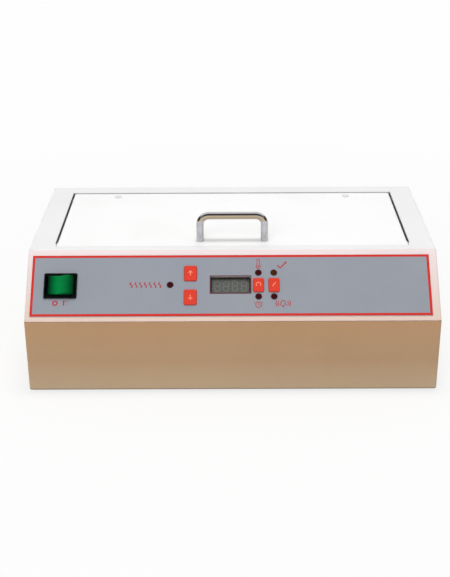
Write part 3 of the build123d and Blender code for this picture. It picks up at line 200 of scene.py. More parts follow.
def noise(tree, place, size, detail=2.0, rough=0.5):
    """Cloudy noise, about 0 to 1, whose blobs are size metres across. size may be a link."""
    linked = isinstance(size, bpy.types.NodeSocket)
    scale = sums(tree, "DIVIDE", 1.0, size) if linked else 1.0 / size
    return add(tree, "ShaderNodeTexNoise", Vector=place, Scale=scale, Detail=detail,
               Roughness=rough).outputs["Fac"]


print("noise is stretched by", round(1 / (NOISE_HIGH - NOISE_LOW), 2))

# %% [markdown]
# ## Floor, backdrop and light
#
# The object stands on a plain white floor in a bright room. The camera sees a share of the floor's own
# colour beside its lit colour, more of it farther away, so the floor stays pale and still holds the
# object's shadow.
#
# The light is plain: a soft lamp hangs overhead, which throws the handle's thin shadow on the lid, a
# larger and weaker one stands in front, and the room's walls do the rest. Polished metal shows what
# stands round it. Photographers hang dark cards there to give it contrast, and so does this room: one
# high in front and one on each side, for gloss alone. They draw the dark line along the handle.

# %% Floor
FLOOR_HALF = 14.0
FLOOR_WHITE, FLOOR_CLOUD = screen(254, 254, 254), screen(236, 237, 232)
NEAR, FAR = 0.20, 0.75
NEAR_SHARE, FAR_SHARE = 0.78, 1.0


def shows_room(tree):
    """1 for the rays that show the room: the camera's, and those off gloss or through clear pieces."""
    rays = add(tree, "ShaderNodeLightPath").outputs
    seen = sums(tree, "MAXIMUM", rays["Is Camera Ray"], rays["Is Glossy Ray"])
    return sums(tree, "MAXIMUM", seen, rays["Is Transmission Ray"])


def floor_material():
    """Matt white floor with a faint cloudiness, lit and partly shown in its own colour."""
    made = bpy.data.materials.new("pale floor")
    made.use_nodes = True
    tree = made.node_tree
    shader = tree.nodes["Principled BSDF"]
    place = add(tree, "ShaderNodeTexCoord").outputs["Object"]
    cloud = noise(tree, place, 0.35, 3.0)
    colour = tint(tree, cloudy(tree, cloud, 0.0, 0.02), FLOOR_WHITE, FLOOR_CLOUD)
    feed(tree, shader.inputs["Base Color"], colour)
    feed(tree, shader.inputs["Roughness"], cloudy(tree, cloud, 0.72, 0.8))
    shader.inputs["Specular IOR Level"].default_value = 0.2
    glow = add(tree, "ShaderNodeEmission", Color=colour, Strength=1.0)
    away = add(tree, "ShaderNodeVectorMath", {"operation": "LENGTH"}, place).outputs["Value"]
    share = times(tree, shows_room(tree), spread(tree, away, NEAR, FAR, NEAR_SHARE, FAR_SHARE))
    both = add(tree, "ShaderNodeMixShader", {}, share, shader.outputs[0], glow.outputs[0])
    feed(tree, tree.nodes["Material Output"].inputs["Surface"], both.outputs[0])
    return made


mesh = bpy.data.meshes.new("floor")
corners = [(x * FLOOR_HALF, y * FLOOR_HALF, 0.0) for x, y in ((-1, -1), (1, -1), (1, 1), (-1, 1))]
mesh.from_pydata(corners, [], [(0, 1, 2, 3)])
mesh.materials.append(floor_material())
floor = bpy.data.objects.new("floor", mesh)
bpy.context.scene.collection.objects.link(floor)
print("floor:", floor.dimensions.x, "m wide")

# %% Lamps
LAMP_AIM = Vector((0.0, 0.0, 0.1))


def soft_lamp(name, place, size, level):
    """A square lamp that gloss doesn't show. level is the share of full white that it gives a card
    which faces it from the middle of the object."""
    data = bpy.data.lights.new(name, "AREA")
    data.shape = "SQUARE"
    data.size = size
    way = LAMP_AIM - Vector(place)
    data.energy = level * math.pi ** 2 * way.length ** 2
    lamp = bpy.data.objects.new(name, data)
    lamp.location = place
    lamp.rotation_mode = "QUATERNION"
    lamp.rotation_quaternion = way.to_track_quat("-Z", "Y")
    lamp.visible_glossy = False
    bpy.context.scene.collection.objects.link(lamp)
    print(name, "watts:", round(data.energy, 2))


soft_lamp("overhead lamp", place=(0.05, -0.05, 1.7), size=0.45, level=0.415)
soft_lamp("front lamp", place=(-0.7, -1.9, 1.5), size=1.3, level=0.20)

# %% Room
ROOM_LEVEL = 0.50
WHITE = (1.0, 1.0, 1.0, 1.0)
CARD_COLOUR = (0.085, 0.068, 0.068, 1.0)
HIGH_CARD_RISE, HIGH_CARD_FRONT = (0.29, 0.36), (-0.10, -0.22)
SIDE_CARD_ASIDE, SIDE_CARD_RISE = (0.62, 0.80), (0.62, 0.46)


def room():
    """Even light for matt surfaces, and a white room with three dark cards for gloss. A card's pairs
    say between which values of a direction's X, Y or Z its soft edges lie."""
    world = bpy.data.worlds.new("room")
    bpy.context.scene.world = world
    world.use_nodes = True
    tree = world.node_tree
    toward = parts_of(tree, add(tree, "ShaderNodeTexCoord").outputs["Generated"])
    high = times(tree, spread(tree, toward["Z"], *HIGH_CARD_RISE),
                 spread(tree, toward["Y"], *HIGH_CARD_FRONT))
    aside = times(tree, spread(tree, sums(tree, "ABSOLUTE", toward["X"]), *SIDE_CARD_ASIDE),
                  spread(tree, toward["Z"], *SIDE_CARD_RISE))
    cards = sums(tree, "MAXIMUM", high, aside)
    glossy = add(tree, "ShaderNodeLightPath").outputs["Is Glossy Ray"]
    colour = tint(tree, shows_room(tree), (ROOM_LEVEL,) * 3 + (1.0,), WHITE)
    colour = tint(tree, times(tree, glossy, cards), colour, CARD_COLOUR)
    background = tree.nodes["Background"]
    feed(tree, background.inputs["Color"], colour)
    background.inputs["Strength"].default_value = 1.0


room()
print("room level:", ROOM_LEVEL)

# %% [markdown]
# ## Effects that several finishes share
#
# Sprayed paint has a faint orange-peel surface. Moulded plastic copies its tool's spark-eroded grain.
# Rolled and brushed metals carry long fine lines. All of them gather a few smudges where hands go, and
# wear a little at their edges. Each effect is made once as a group that takes a place on the object,
# most of them with a size, and gives masks and heights. The finish that uses it decides what they
# change. Small numbers that only shape a mask stay where they are used.
#
# The edge group asks Cycles for the direction that a softened edge would have. Where that differs from
# the true direction there is an edge, which gives both the rounded highlight and the wear mask.

# %% Making a tree and using a group
def new_tree(name, kind, takes, gives):
    """A node tree with the named sockets, each with its kind: the tree, what it takes and gives."""
    tree = bpy.data.node_groups.new(name, kind)
    for way, sockets in (("INPUT", takes), ("OUTPUT", gives)):
        for label, type_name in sockets.items():
            tree.interface.new_socket(name=label, in_out=way, socket_type="NodeSocket" + type_name)
    return tree, tree.nodes.new("NodeGroupInput").outputs, tree.nodes.new("NodeGroupOutput").inputs


def effect(name, takes, gives):
    """A shader group that takes a place on the object and what takes names."""
    return new_tree(name, "ShaderNodeTree", {"Place": "Vector", **takes}, gives)


def use(tree, made, place, **inputs):
    """Puts an effect in a material's tree and returns its outputs."""
    return add(tree, "ShaderNodeGroup", {"node_tree": made}, place, **inputs).outputs


print("groups so far:", len(bpy.data.node_groups))

# %% Orange peel, moulded grain and rolled grain
PEEL_FINE, PEEL_DRIFT = 0.3, 70.0
COARSE_SHARE, FINE_SHARE = 0.75, 0.25
GRAIN_DRIFT = 40.0
LINES_PER_STREAK = 1 / 0.13


def orange_peel_group():
    """Sprayed paint: low round bumps about Bump Size across, and a slow drift of tone."""
    tree, taken, given = effect("orange peel", {"Bump Size": "Float"},
                                {"Height": "Float", "Tone": "Float"})
    place, size = taken["Place"], taken["Bump Size"]
    coarse = noise(tree, place, size, 1.0)
    fine = noise(tree, place, times(tree, size, PEEL_FINE))
    both = sums(tree, "ADD", times(tree, coarse, COARSE_SHARE), times(tree, fine, FINE_SHARE))
    feed(tree, given["Height"], both)
    drift = noise(tree, place, times(tree, size, PEEL_DRIFT), 3.0)
    feed(tree, given["Tone"], cloudy(tree, drift))
    return tree


def moulded_grain_group():
    """Moulded plastic: tiny even pits from the tool, and a slow drift of tone."""
    tree, taken, given = effect("moulded grain", {"Pit Size": "Float"},
                                {"Height": "Float", "Tone": "Float"})
    pits = noise(tree, taken["Place"], taken["Pit Size"], 2.0, 0.7)
    feed(tree, given["Height"], spread(tree, pits, 0.35, 0.6))
    drift = noise(tree, taken["Place"], times(tree, taken["Pit Size"], GRAIN_DRIFT))
    feed(tree, given["Tone"], cloudy(tree, drift))
    return tree


def rolled_grain_group():
    """Rolled or brushed metal. Squeeze is large across the lines and small along them."""
    tree, taken, given = effect("rolled grain", {"Squeeze": "Vector"},
                                {"Height": "Float", "Streak": "Float"})
    squeezed = add(tree, "ShaderNodeVectorMath", {"operation": "MULTIPLY"}, taken["Place"],
                   taken["Squeeze"]).outputs[0]
    feed(tree, given["Height"], cloudy(tree, noise(tree, squeezed, 1.0, 4.0, 0.6)))
    feed(tree, given["Streak"], cloudy(tree, noise(tree, squeezed, LINES_PER_STREAK)))
    return tree


PEEL = orange_peel_group()
GRAIN = moulded_grain_group()
ROLLED = rolled_grain_group()
print("groups so far:", [g.name for g in bpy.data.node_groups])

# %% Handling marks and worn edges
SPECKS_PER_METRE, SPECK_SHARE = 260.0, 0.07
EDGE_SAMPLES, CHIP_SIZE = 6, 0.004


def handling_group():
    """Use: Smudge is soft patches about Patch Size across, Speck is a few settled grains of dust."""
    tree, taken, given = effect("handling", {"Patch Size": "Float"},
                                {"Smudge": "Float", "Speck": "Float"})
    place, size = taken["Place"], taken["Patch Size"]
    patch = noise(tree, place, size, 4.0, 0.6)
    streak = noise(tree, place, times(tree, size, 0.2), 3.0)
    smudge = times(tree, spread(tree, patch, 0.45, 0.7), spread(tree, streak, 0.3, 0.65))
    feed(tree, given["Smudge"], smudge)
    cells = add(tree, "ShaderNodeTexVoronoi", Vector=place, Scale=SPECKS_PER_METRE)
    near = spread(tree, cells.outputs["Distance"], 0.10, 0.04)
    lot = add(tree, "ShaderNodeSeparateColor", Color=cells.outputs["Color"]).outputs[0]
    chosen = sums(tree, "GREATER_THAN", lot, 1.0 - SPECK_SHARE)
    feed(tree, given["Speck"], times(tree, near, chosen))
    return tree


def worn_edge_group(radius):
    """A softened edge of that radius: its direction, and a mask that is 1 along the edge."""
    tree, taken, given = effect(f"edge {radius / MM:.2f} mm", {},
                                {"Edge": "Float", "Normal": "Vector"})
    soft = add(tree, "ShaderNodeBevel", {"samples": EDGE_SAMPLES}, Radius=radius).outputs[0]
    plain = add(tree, "ShaderNodeNewGeometry").outputs["Normal"]
    alike = add(tree, "ShaderNodeVectorMath", {"operation": "DOT_PRODUCT"}, soft, plain)
    edge = spread(tree, alike.outputs["Value"], 0.995, 0.86)
    chips = noise(tree, taken["Place"], CHIP_SIZE, 3.0, 0.7)
    feed(tree, given["Edge"], times(tree, edge, spread(tree, chips, 0.35, 0.7)))
    feed(tree, given["Normal"], soft)
    return tree


HANDLING = handling_group()
FOLD_EDGE = worn_edge_group(0.0006)
FINE_EDGE = worn_edge_group(0.00025)
print("groups so far:", [g.name for g in bpy.data.node_groups])

# %% [markdown]
# ## Painted steel
#
# The case and the lid are folded steel with a satin powder coat. The lower shell is sand coloured. The
# cover is white, and the sloping face round the panel is given a warmer cream tone, warmest at its foot:
# a painted warm light, as if from the bench in front. The lid is white too, and its rivet heads are a
# little greyer, a painted shade round each head. One function makes all four, so that the orange peel,
# the smudges and the paler edges keep the same size on every plate, as they would from one spray line.
#
# What differs from plate to plate is a list of tones, and these are painted light and shade. The sand
# is painted darker above and paler towards the bench, as if lit from the floor, with a painted shade
# line along the bottom fold, and a painted shade darkens the narrow gap round the lid.

# %% Starting and completing a finish
MICRON = 0.000001


def start(name):
    """A new material: itself, its tree and the object's own coordinates in metres."""
    made = bpy.data.materials.new(name)
    made.use_nodes = True
    return made, made.node_tree, add(made.node_tree, "ShaderNodeTexCoord").outputs["Object"]


def complete(made, colour, rough, height, microns, base=None, **even):
    """Feeds a material's shader. height raises bumps of that many microns, on the direction base if
    there is one. What is even all over is set on the shader's own sockets."""
    tree = made.node_tree
    shader = tree.nodes["Principled BSDF"]
    feed(tree, shader.inputs["Base Color"], colour)
    feed(tree, shader.inputs["Roughness"], rough)
    for name, value in even.items():
        shader.inputs[name.replace("_", " ")].default_value = value
    bump = add(tree, "ShaderNodeBump", Distance=microns * MICRON, Height=height)
    if base is not None:
        feed(tree, bump.inputs["Normal"], base)
    feed(tree, shader.inputs["Normal"], bump.outputs[0])
    return made


print("materials before the finishes:", len(bpy.data.materials))

# %% Painted light and shade on the folded case
# Painted warm light on the sloping face: a cream tone at its foot and a paler one near its head.
FOOT_WARM_LIGHT, HEAD_WARM_LIGHT = screen(234, 210, 196), screen(246, 230, 230)
HEAD_Y, HEAD_Z, HEAD_SOFT = -0.066, 0.128, 0.006
# Painted light and shade on the lower shell: darker above, paler near the bench as if lit from the
# floor, and a dark painted shade line along the bottom fold.
SAND_LIGHT_AND_SHADE = (
    (0.040, FOLD.z, screen(193, 151, 112)),
    (0.035, 0.006, screen(194, 169, 138)),
    (0.0052, 0.0040, screen(126, 108, 88)),
)
# Painted shade in the lid's gap: a grey laid over the upright faces there.
GAP_SHADE = (0.33, 0.32, 0.31, 1.0)
OPENING_HALF, OPENING_FRONT, OPENING_BACK = 0.1770, -0.0570, 0.1005
OPENING_SOFT = 0.0005
SHADE_TOP_Z, SHADE_FULL_Z = 0.1296, 0.1284


def slope_warm_light(tree, paint, where, facing):
    """Painted warm light on the sloping face, warmest at its foot."""
    sloping = times(tree, spread(tree, facing["Y"], -0.25, -0.6),
                    spread(tree, where["Y"], HEAD_Y + HEAD_SOFT, HEAD_Y))
    slope = tint(tree, spread(tree, where["Z"], FOLD.z, HEAD_Z), FOOT_WARM_LIGHT, HEAD_WARM_LIGHT)
    return tint(tree, sloping, paint, slope)


def bench_light_and_shade(tree, paint, where, facing):
    """Painted light and shade on the lower shell: darker above, paler near the bench as if lit from the
    floor, and a painted shade line along its bottom fold. Each tone comes in between the two heights
    that are written before it."""
    for begins, full, tone in SAND_LIGHT_AND_SHADE:
        paint = tint(tree, spread(tree, where["Z"], begins, full), paint, tone)
    return paint


def gap_shade(tree, paint, where, facing):
    """Painted shade on the upright faces in the lid's gap, from just under the top."""
    wide = spread(tree, sums(tree, "ABSOLUTE", where["X"]), OPENING_HALF + OPENING_SOFT, OPENING_HALF)
    front = spread(tree, where["Y"], OPENING_FRONT - OPENING_SOFT, OPENING_FRONT)
    back = spread(tree, where["Y"], OPENING_BACK + OPENING_SOFT, OPENING_BACK)
    upright = spread(tree, sums(tree, "ABSOLUTE", facing["Z"]), 0.6, 0.2)
    under = spread(tree, where["Z"], SHADE_TOP_Z, SHADE_FULL_Z)
    return tint(tree, times(tree, wide, front, back, upright, under), paint, GAP_SHADE)


print("lid opening in mm:", round(2 * OPENING_HALF / MM, 1),
      "x", round((OPENING_BACK - OPENING_FRONT) / MM, 1))

# %% Powder coats
PAINT_ROUGHNESS = 0.46
DRIFT_SHADE = (0.965, 0.96, 0.95, 1.0)
BARE_EDGE = (0.9, 0.89, 0.87, 1.0)


def painted_steel(name, colour, tones=(), grime=(150, 142, 130)):
    """Satin powder coat. tones are the functions that tint it from place to place, with painted light
    and shade. Each is handed where a point is and which way it faces, whether it needs both or not."""
    made, tree, place = start(name)
    facing = parts_of(tree, add(tree, "ShaderNodeTexCoord").outputs["Normal"])
    where = parts_of(tree, place)
    peel = use(tree, PEEL, place, Bump_Size=0.0013)
    wear = use(tree, FOLD_EDGE, place)
    hands = use(tree, HANDLING, place, Patch_Size=0.09)
    paint = screen(*colour)
    for tone in tones:
        paint = tone(tree, paint, where, facing)
    paint = lay(tree, paint, peel["Tone"], 0.5, DRIFT_SHADE, "MULTIPLY")
    paint = lay(tree, paint, hands["Smudge"], 0.035, screen(*grime))
    paint = lay(tree, paint, hands["Speck"], 0.18, screen(*grime))
    paint = lay(tree, paint, wear["Edge"], 0.22, BARE_EDGE)
    rough = spread(tree, peel["Tone"], 0.0, 1.0, PAINT_ROUGHNESS - 0.03, PAINT_ROUGHNESS + 0.04)
    rough = sums(tree, "ADD", rough, times(tree, hands["Smudge"], 0.10))
    return complete(made, paint, rough, peel["Height"], 30, wear["Normal"], Specular_IOR_Level=0.35)


# The sand shell carries painted light and shade, the cover painted warm light on its slope, and the
# cover and the lid a painted shade in the lid's gap.
CASE_PAINT = painted_steel("sand powder coat", (186, 153, 117), [bench_light_and_shade], (110, 88, 66))
COVER_PAINT = painted_steel("white powder coat", (241, 241, 242), [slope_warm_light, gap_shade])
LID_PAINT = painted_steel("lid powder coat", (252, 252, 252), [gap_shade])
# The rivet heads are a little greyer than the lid, a painted shade round each head.
SHADED_RIVET_PAINT = painted_steel("painted rivet heads", (228, 227, 225))
print("paints:", CASE_PAINT.name, "/", COVER_PAINT.name, "/", LID_PAINT.name, "/", SHADED_RIVET_PAINT.name)

# %% [markdown]
# ## Printed film, keys and lamps
#
# it. The keys are red moulded caps with a shallow dish for the fingertip. The lamps are small coloured
# domes, dark because they are off, with a painted shade towards their edges and a painted highlight in
# their middles. The switch's rocker is a green lens with painted light and shade: bright in the middle,
# and painted darker towards its ends and its foot.

# %% Panel film and moulded plastics
PIT_SHADE = (0.8, 0.8, 0.8, 1.0)


def panel_film():
    """Matt grey film with a very fine grain and a faint slow drift of tone."""
    made, tree, place = start("grey panel film")
    grain = use(tree, GRAIN, place, Pit_Size=0.00035)
    hands = use(tree, HANDLING, place, Patch_Size=0.05)
    drift = cloudy(tree, noise(tree, place, 0.11, 3.0))
    film = tint(tree, drift, screen(151, 156, 167), screen(156, 160, 168))
    film = lay(tree, film, grain["Tone"], 0.05, screen(126, 130, 138))
    film = lay(tree, film, hands["Smudge"], 0.06, screen(176, 176, 182))
    rough = spread(tree, hands["Smudge"], 0.0, 1.0, 0.46, 0.36)
    return complete(made, film, rough, grain["Height"], 12, Specular_IOR_Level=0.3)


def moulded(name, colour, worn, roughness, pit=0.0004, microns=20, wear_share=0.35, gloss=0.4):
    """Moulded plastic: tool grain, finger-polished patches and paler worn edges."""
    made, tree, place = start(name)
    grain = use(tree, GRAIN, place, Pit_Size=pit)
    wear = use(tree, FINE_EDGE, place)
    hands = use(tree, HANDLING, place, Patch_Size=0.012)
    body = lay(tree, screen(*colour), grain["Tone"], 0.25, PIT_SHADE, "MULTIPLY")
    body = lay(tree, body, wear["Edge"], wear_share, screen(*worn))
    rough = sums(tree, "SUBTRACT", roughness, times(tree, hands["Smudge"], 0.12))
    return complete(made, body, rough, grain["Height"], microns, wear["Normal"],
                    Specular_IOR_Level=gloss)


FILM = panel_film()
KEY_PLASTIC = moulded("red key plastic", (229, 65, 46), (246, 120, 90), 0.44, gloss=0.25)
BLACK_PLASTIC = moulded("black housing plastic", (9, 9, 11), (40, 40, 42), 0.40, gloss=0.12)
PART_PLASTIC = moulded("black part plastic", (34, 34, 36), (80, 80, 82), 0.45)
RELAY_PLASTIC = moulded("blue relay plastic", (38, 68, 128), (90, 120, 170), 0.4)
TERMINAL_PLASTIC = moulded("green terminal plastic", (38, 128, 80), (110, 180, 140), 0.42)
FOOT_RUBBER = moulded("foot rubber", (36, 36, 37), (60, 60, 60), 0.75, 0.0007, 40, 0.2)
SILICONE = moulded("gasket silicone", (176, 92, 70), (196, 120, 100), 0.6, 0.0006, 20, 0.2)
print("film and plastics:", FILM.name, KEY_PLASTIC.name, BLACK_PLASTIC.name)

# %% Green rocker lens and small lamps
rocker_low, rocker_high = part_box("switch_rocker")
RIB_PITCH = 0.0016


def rocker_lens():
    """Green lens with fine inner ribs, and painted light and shade: bright in the middle, painted shade
    towards its sides, its foot and its pressed left end.
    """
    made, tree, place = start("green rocker lens")
    where = parts_of(tree, place)
    across = spread(tree, where["X"], rocker_low.x, rocker_high.x)
    # Painted light and shade: the share of bright green falls off towards the pressed left end, the
    # right end and the foot.
    left = spread(tree, across, 0.09, 0.39)
    middle = spread(tree, across, 0.50, 0.80, 1.0, 0.55)
    right = spread(tree, across, 1.0, 0.80)
    foot = spread(tree, where["Z"], rocker_low.z, rocker_low.z + 0.006, 0.4, 1.0)
    cloud = spread(tree, noise(tree, place, 0.006), 0.2, 0.7, 0.85, 1.0)
    glow = times(tree, left, middle, right, foot, cloud)
    ribs = sums(tree, "SINE", times(tree, where["X"], 2 * math.pi / RIB_PITCH))
    green = tint(tree, glow, screen(0, 16, 12), screen(0, 134, 65))
    green = tint(tree, spread(tree, ribs, 0.2, 1.0, 0.0, 0.10), green, screen(0, 60, 34))
    wear = use(tree, FINE_EDGE, place)
    green = lay(tree, green, wear["Edge"], 0.15, screen(20, 130, 70))
    smear = noise(tree, place, 0.004, 3.0)
    return complete(made, green, cloudy(tree, smear, 0.22, 0.32), smear, 10, wear["Normal"],
                    Specular_IOR_Level=0.06)


def lamp_dome(name, edge, highlight_core):
    """Cast coloured dome, off: a painted shade towards its edge as the viewer sees it, and a painted
    highlight in its middle.
    """
    made, tree, place = start(name)
    # Painted shade and highlight: the dome is darker where it turns away from the viewer and painted
    # lighter in its middle.
    shaded_rim = add(tree, "ShaderNodeLayerWeight", Blend=0.35).outputs["Facing"]
    colour = tint(tree, spread(tree, shaded_rim, 0.2, 0.8), screen(*highlight_core), screen(*edge))
    cast = noise(tree, place, 0.0015)
    colour = tint(tree, cloudy(tree, cast, 0.0, 0.2), colour, screen(*edge))
    return complete(made, colour, cloudy(tree, cast, 0.12, 0.22), cast, 10, Specular_IOR_Level=0.3)


ROCKER_LENS = rocker_lens()
RED_DOME = lamp_dome("dark red dome", (34, 4, 8), (66, 14, 20))
AMBER_DOME = lamp_dome("amber dome", (40, 18, 6), (74, 36, 14))
print("rocker from x", round(1000 * rocker_low.x, 1), "to", round(1000 * rocker_high.x, 1), "mm")

# %% [markdown]
# ## The display
#
# Behind a tinted window lies a grey-green module with four digits of unlit bars. The window lets light
# through by its opacity and not by bent rays, because it is thin, flat and close to what it covers.

# %% Display window, module and bars
def window_pane():
    """Smoked pane, mostly clear, with faint wipe marks in its gloss."""
    made, tree, place = start("smoked window")
    wipe = use(tree, ROLLED, place, Squeeze=(60.0, 900.0, 900.0))
    shade = tint(tree, wipe["Streak"], screen(74, 62, 64), screen(82, 72, 74))
    rough = spread(tree, wipe["Height"], 0.0, 1.0, 0.10, 0.18)
    return complete(made, shade, rough, wipe["Height"], 2, Alpha=0.27)


def module_face():
    """Matt grey-green face of the display module, with a fine printed haze."""
    made, tree, place = start("display face")
    haze = noise(tree, place, 0.004, 3.0)
    speck = noise(tree, place, 0.0006)
    face = tint(tree, cloudy(tree, haze), screen(146, 158, 151), screen(156, 168, 160))
    face = tint(tree, spread(tree, speck, 0.4, 0.7, 0.0, 0.12), face, screen(118, 127, 121))
    return complete(made, face, cloudy(tree, haze, 0.5, 0.62), speck, 10)


def unlit_bars():
    """Unlit bars of the digits, cast in a milky resin."""
    made, tree, place = start("unlit display bars")
    milk = noise(tree, place, 0.0012, 3.0)
    bar = tint(tree, cloudy(tree, milk), screen(178, 188, 176), screen(190, 199, 185))
    return complete(made, bar, cloudy(tree, milk, 0.3, 0.42), milk, 10)


WINDOW = window_pane()
MODULE = module_face()
BARS = unlit_bars()
print("display finishes:", WINDOW.name, MODULE.name, BARS.name)

# %% [markdown]
# ## Bare metals
#
# The chamber and the lid's inner pan are stainless sheet with the mill's fine lines, a little yellowed
# by heat. The handle is polished and chromed rod. Screws are zinc plated, the heater's sheath is brown
# from use, and the hidden brackets are galvanised, which grows flat crystals that catch light one by
# one. All of them use the rolled-grain group but the galvanised plate. On the handle it draws hair
# scratches.

# %% Stainless, chrome, zinc and the rest
BRIGHT_EDGE = (0.8, 0.8, 0.8, 1.0)
REFLECTION_LOW_Z, REFLECTION_HIGH_Z = 0.1500, 0.1535
CRYSTALS_PER_METRE = 140.0


def rolled_metal(name, colour, tinted, roughness, squeeze):
    """Bare metal with lines: streaks in colour and gloss, a height along the lines, bright edges."""
    made, tree, place = start(name)
    lines = use(tree, ROLLED, place, Squeeze=squeeze)
    wear = use(tree, FINE_EDGE, place)
    hands = use(tree, HANDLING, place, Patch_Size=0.04)
    metal = tint(tree, lines["Streak"], screen(*colour), screen(*tinted))
    metal = lay(tree, metal, hands["Smudge"], 0.25, screen(*tinted))
    metal = lay(tree, metal, wear["Edge"], 0.4, BRIGHT_EDGE)
    rough = spread(tree, lines["Height"], 0.0, 1.0, roughness - 0.06, roughness + 0.08)
    rough = sums(tree, "ADD", rough, times(tree, hands["Smudge"], 0.12))
    return complete(made, metal, rough, lines["Height"], 6, wear["Normal"], Metallic=1.0)


def chromed_rod():
    """Polished chrome with hair scratches, finger smudges, and a painted warm reflection under the bar.
    """
    made, tree, place = start("chromed rod")
    hair = use(tree, ROLLED, place, Squeeze=(120.0, 2600.0, 2600.0))
    hands = use(tree, HANDLING, place, Patch_Size=0.02)
    metal = tint(tree, hair["Streak"], screen(190, 191, 194), screen(200, 201, 204))
    metal = lay(tree, metal, hands["Smudge"], 0.3, screen(170, 168, 164))
    facing = parts_of(tree, add(tree, "ShaderNodeTexCoord").outputs["Normal"])
    # Painted reflection: the bar's downward faces get a warm tan, as if mirroring the bench below.
    warm_reflection = times(tree, spread(tree, facing["Z"], 0.45, 0.25),
                 spread(tree, parts_of(tree, place)["Z"], REFLECTION_LOW_Z, REFLECTION_HIGH_Z))
    metal = tint(tree, warm_reflection, metal, screen(184, 168, 144))
    rough = spread(tree, hair["Height"], 0.0, 1.0, 0.05, 0.09)
    rough = sums(tree, "ADD", rough, times(tree, hands["Smudge"], 0.15))
    return complete(made, metal, rough, hair["Height"], 2, Metallic=1.0)


def galvanised_sheet():
    """Zinc crystals, each with its own tone and gloss."""
    made, tree, place = start("galvanised sheet")
    crystals = add(tree, "ShaderNodeTexVoronoi", Vector=place, Scale=CRYSTALS_PER_METRE).outputs
    tone = add(tree, "ShaderNodeSeparateColor", Color=crystals["Color"]).outputs[0]
    metal = tint(tree, tone, screen(150, 154, 158), screen(186, 190, 193))
    rough = spread(tree, tone, 0.0, 1.0, 0.34, 0.55)
    return complete(made, metal, rough, crystals["Distance"], 10, Metallic=1.0)


STAINLESS = rolled_metal("fine brushed stainless", (216, 215, 213), (204, 201, 195), 0.33,
                         (90.0, 2200.0, 2200.0))
CHROME = chromed_rod()
ZINC = rolled_metal("zinc plated screw", (190, 190, 188), (168, 170, 172), 0.32, (1500.0,) * 3)
SHEATH = rolled_metal("heat browned sheath", (124, 108, 96), (92, 78, 72), 0.42, (900.0,) * 3)
BRONZE = rolled_metal("machined bronze", (190, 146, 86), (166, 122, 70), 0.3, (1800.0,) * 3)
GALVANISED = galvanised_sheet()
print("metals:", STAINLESS.name, CHROME.name, ZINC.name, SHEATH.name, BRONZE.name, GALVANISED.name)

# %% [markdown]
# ## Hidden parts
#
# A few parts show only with the lid up or the case opened: the mineral wool that keeps the heat in, the
# circuit boards with their copper tracks under green lacquer, and the heater's ceramic collars. They
# get honest finishes too, because the model may be taken apart on screen.

# %% Wool, boards and ceramic
TRACKS_PER_METRE = 210.0


def mineral_wool():
    """Matted fibres: two crossed sets of long noise, yellowed here and there."""
    made, tree, place = start("mineral wool")
    one = use(tree, ROLLED, place, Squeeze=(260.0, 2400.0, 900.0))
    two = use(tree, ROLLED, place, Squeeze=(2200.0, 300.0, 1100.0))
    mat = sums(tree, "MAXIMUM", one["Height"], two["Height"])
    fibre = tint(tree, mat, screen(176, 164, 130), screen(226, 218, 196))
    fibre = lay(tree, fibre, one["Streak"], 0.3, screen(206, 184, 120))
    rough = spread(tree, mat, 0.0, 1.0, 0.95, 0.8)
    return complete(made, fibre, rough, mat, 400, Sheen_Weight=0.3)


def lacquered_board():
    """Green lacquer. Copper tracks show through it as a lighter, slightly raised net of lines."""
    made, tree, place = start("lacquered board")
    net = {"feature": "DISTANCE_TO_EDGE", "distance": "MANHATTAN"}
    tracks = add(tree, "ShaderNodeTexVoronoi", net, Vector=place, Scale=TRACKS_PER_METRE)
    line = spread(tree, tracks.outputs["Distance"], 0.12, 0.08)
    cloud = noise(tree, place, 0.01)
    green = tint(tree, cloudy(tree, cloud), screen(22, 84, 50), screen(28, 96, 58))
    green = lay(tree, green, line, 0.6, screen(60, 136, 82))
    return complete(made, green, cloudy(tree, cloud, 0.28, 0.4), line, 30)


def unglazed_ceramic():
    """Dry white ceramic with a chalky grain."""
    made, tree, place = start("unglazed ceramic")
    chalk = noise(tree, place, 0.0005, 4.0, 0.7)
    cloud = cloudy(tree, noise(tree, place, 0.006))
    body = tint(tree, cloud, screen(226, 220, 208), screen(212, 204, 188))
    body = tint(tree, spread(tree, chalk, 0.5, 0.8, 0.0, 0.3), body, screen(186, 176, 158))
    return complete(made, body, cloudy(tree, chalk, 0.7, 0.85), chalk, 40)


WOOL = mineral_wool()
BOARD = lacquered_board()
CERAMIC = unglazed_ceramic()
print("hidden finishes:", WOOL.name, BOARD.name, CERAMIC.name)

# %% [markdown]
# ## Dressing the parts
#
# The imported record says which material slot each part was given. Each slot gets its finish here, so no
# part is missed, and a part that needs a finish of its own is named after that.

# %% Finish for every slot
SLOT_FINISH = {
    "case_tan": CASE_PAINT, "case_white": COVER_PAINT, "lid_white": LID_PAINT,
    "overlay_grey": FILM, "window": WINDOW, "module_grey": MODULE, "segments": BARS,
    "board_green": BOARD, "part_black": PART_PLASTIC, "relay_blue": RELAY_PLASTIC,
    "terminal_green": TERMINAL_PLASTIC, "bezel_black": BLACK_PLASTIC, "rocker_green": ROCKER_LENS,
    "key_red": KEY_PLASTIC, "lamp_maroon": RED_DOME, "lamp_amber": AMBER_DOME,
    "fastener": ZINC, "stainless": STAINLESS, "element": SHEATH, "galvanised": GALVANISED,
    "chrome": CHROME, "bronze": BRONZE, "silicone": SILICONE, "foot_rubber": FOOT_RUBBER,
    "wool": WOOL, "ceramic": CERAMIC,
}
OWN_FINISH = {"hinge_rivets": SHADED_RIVET_PAINT}

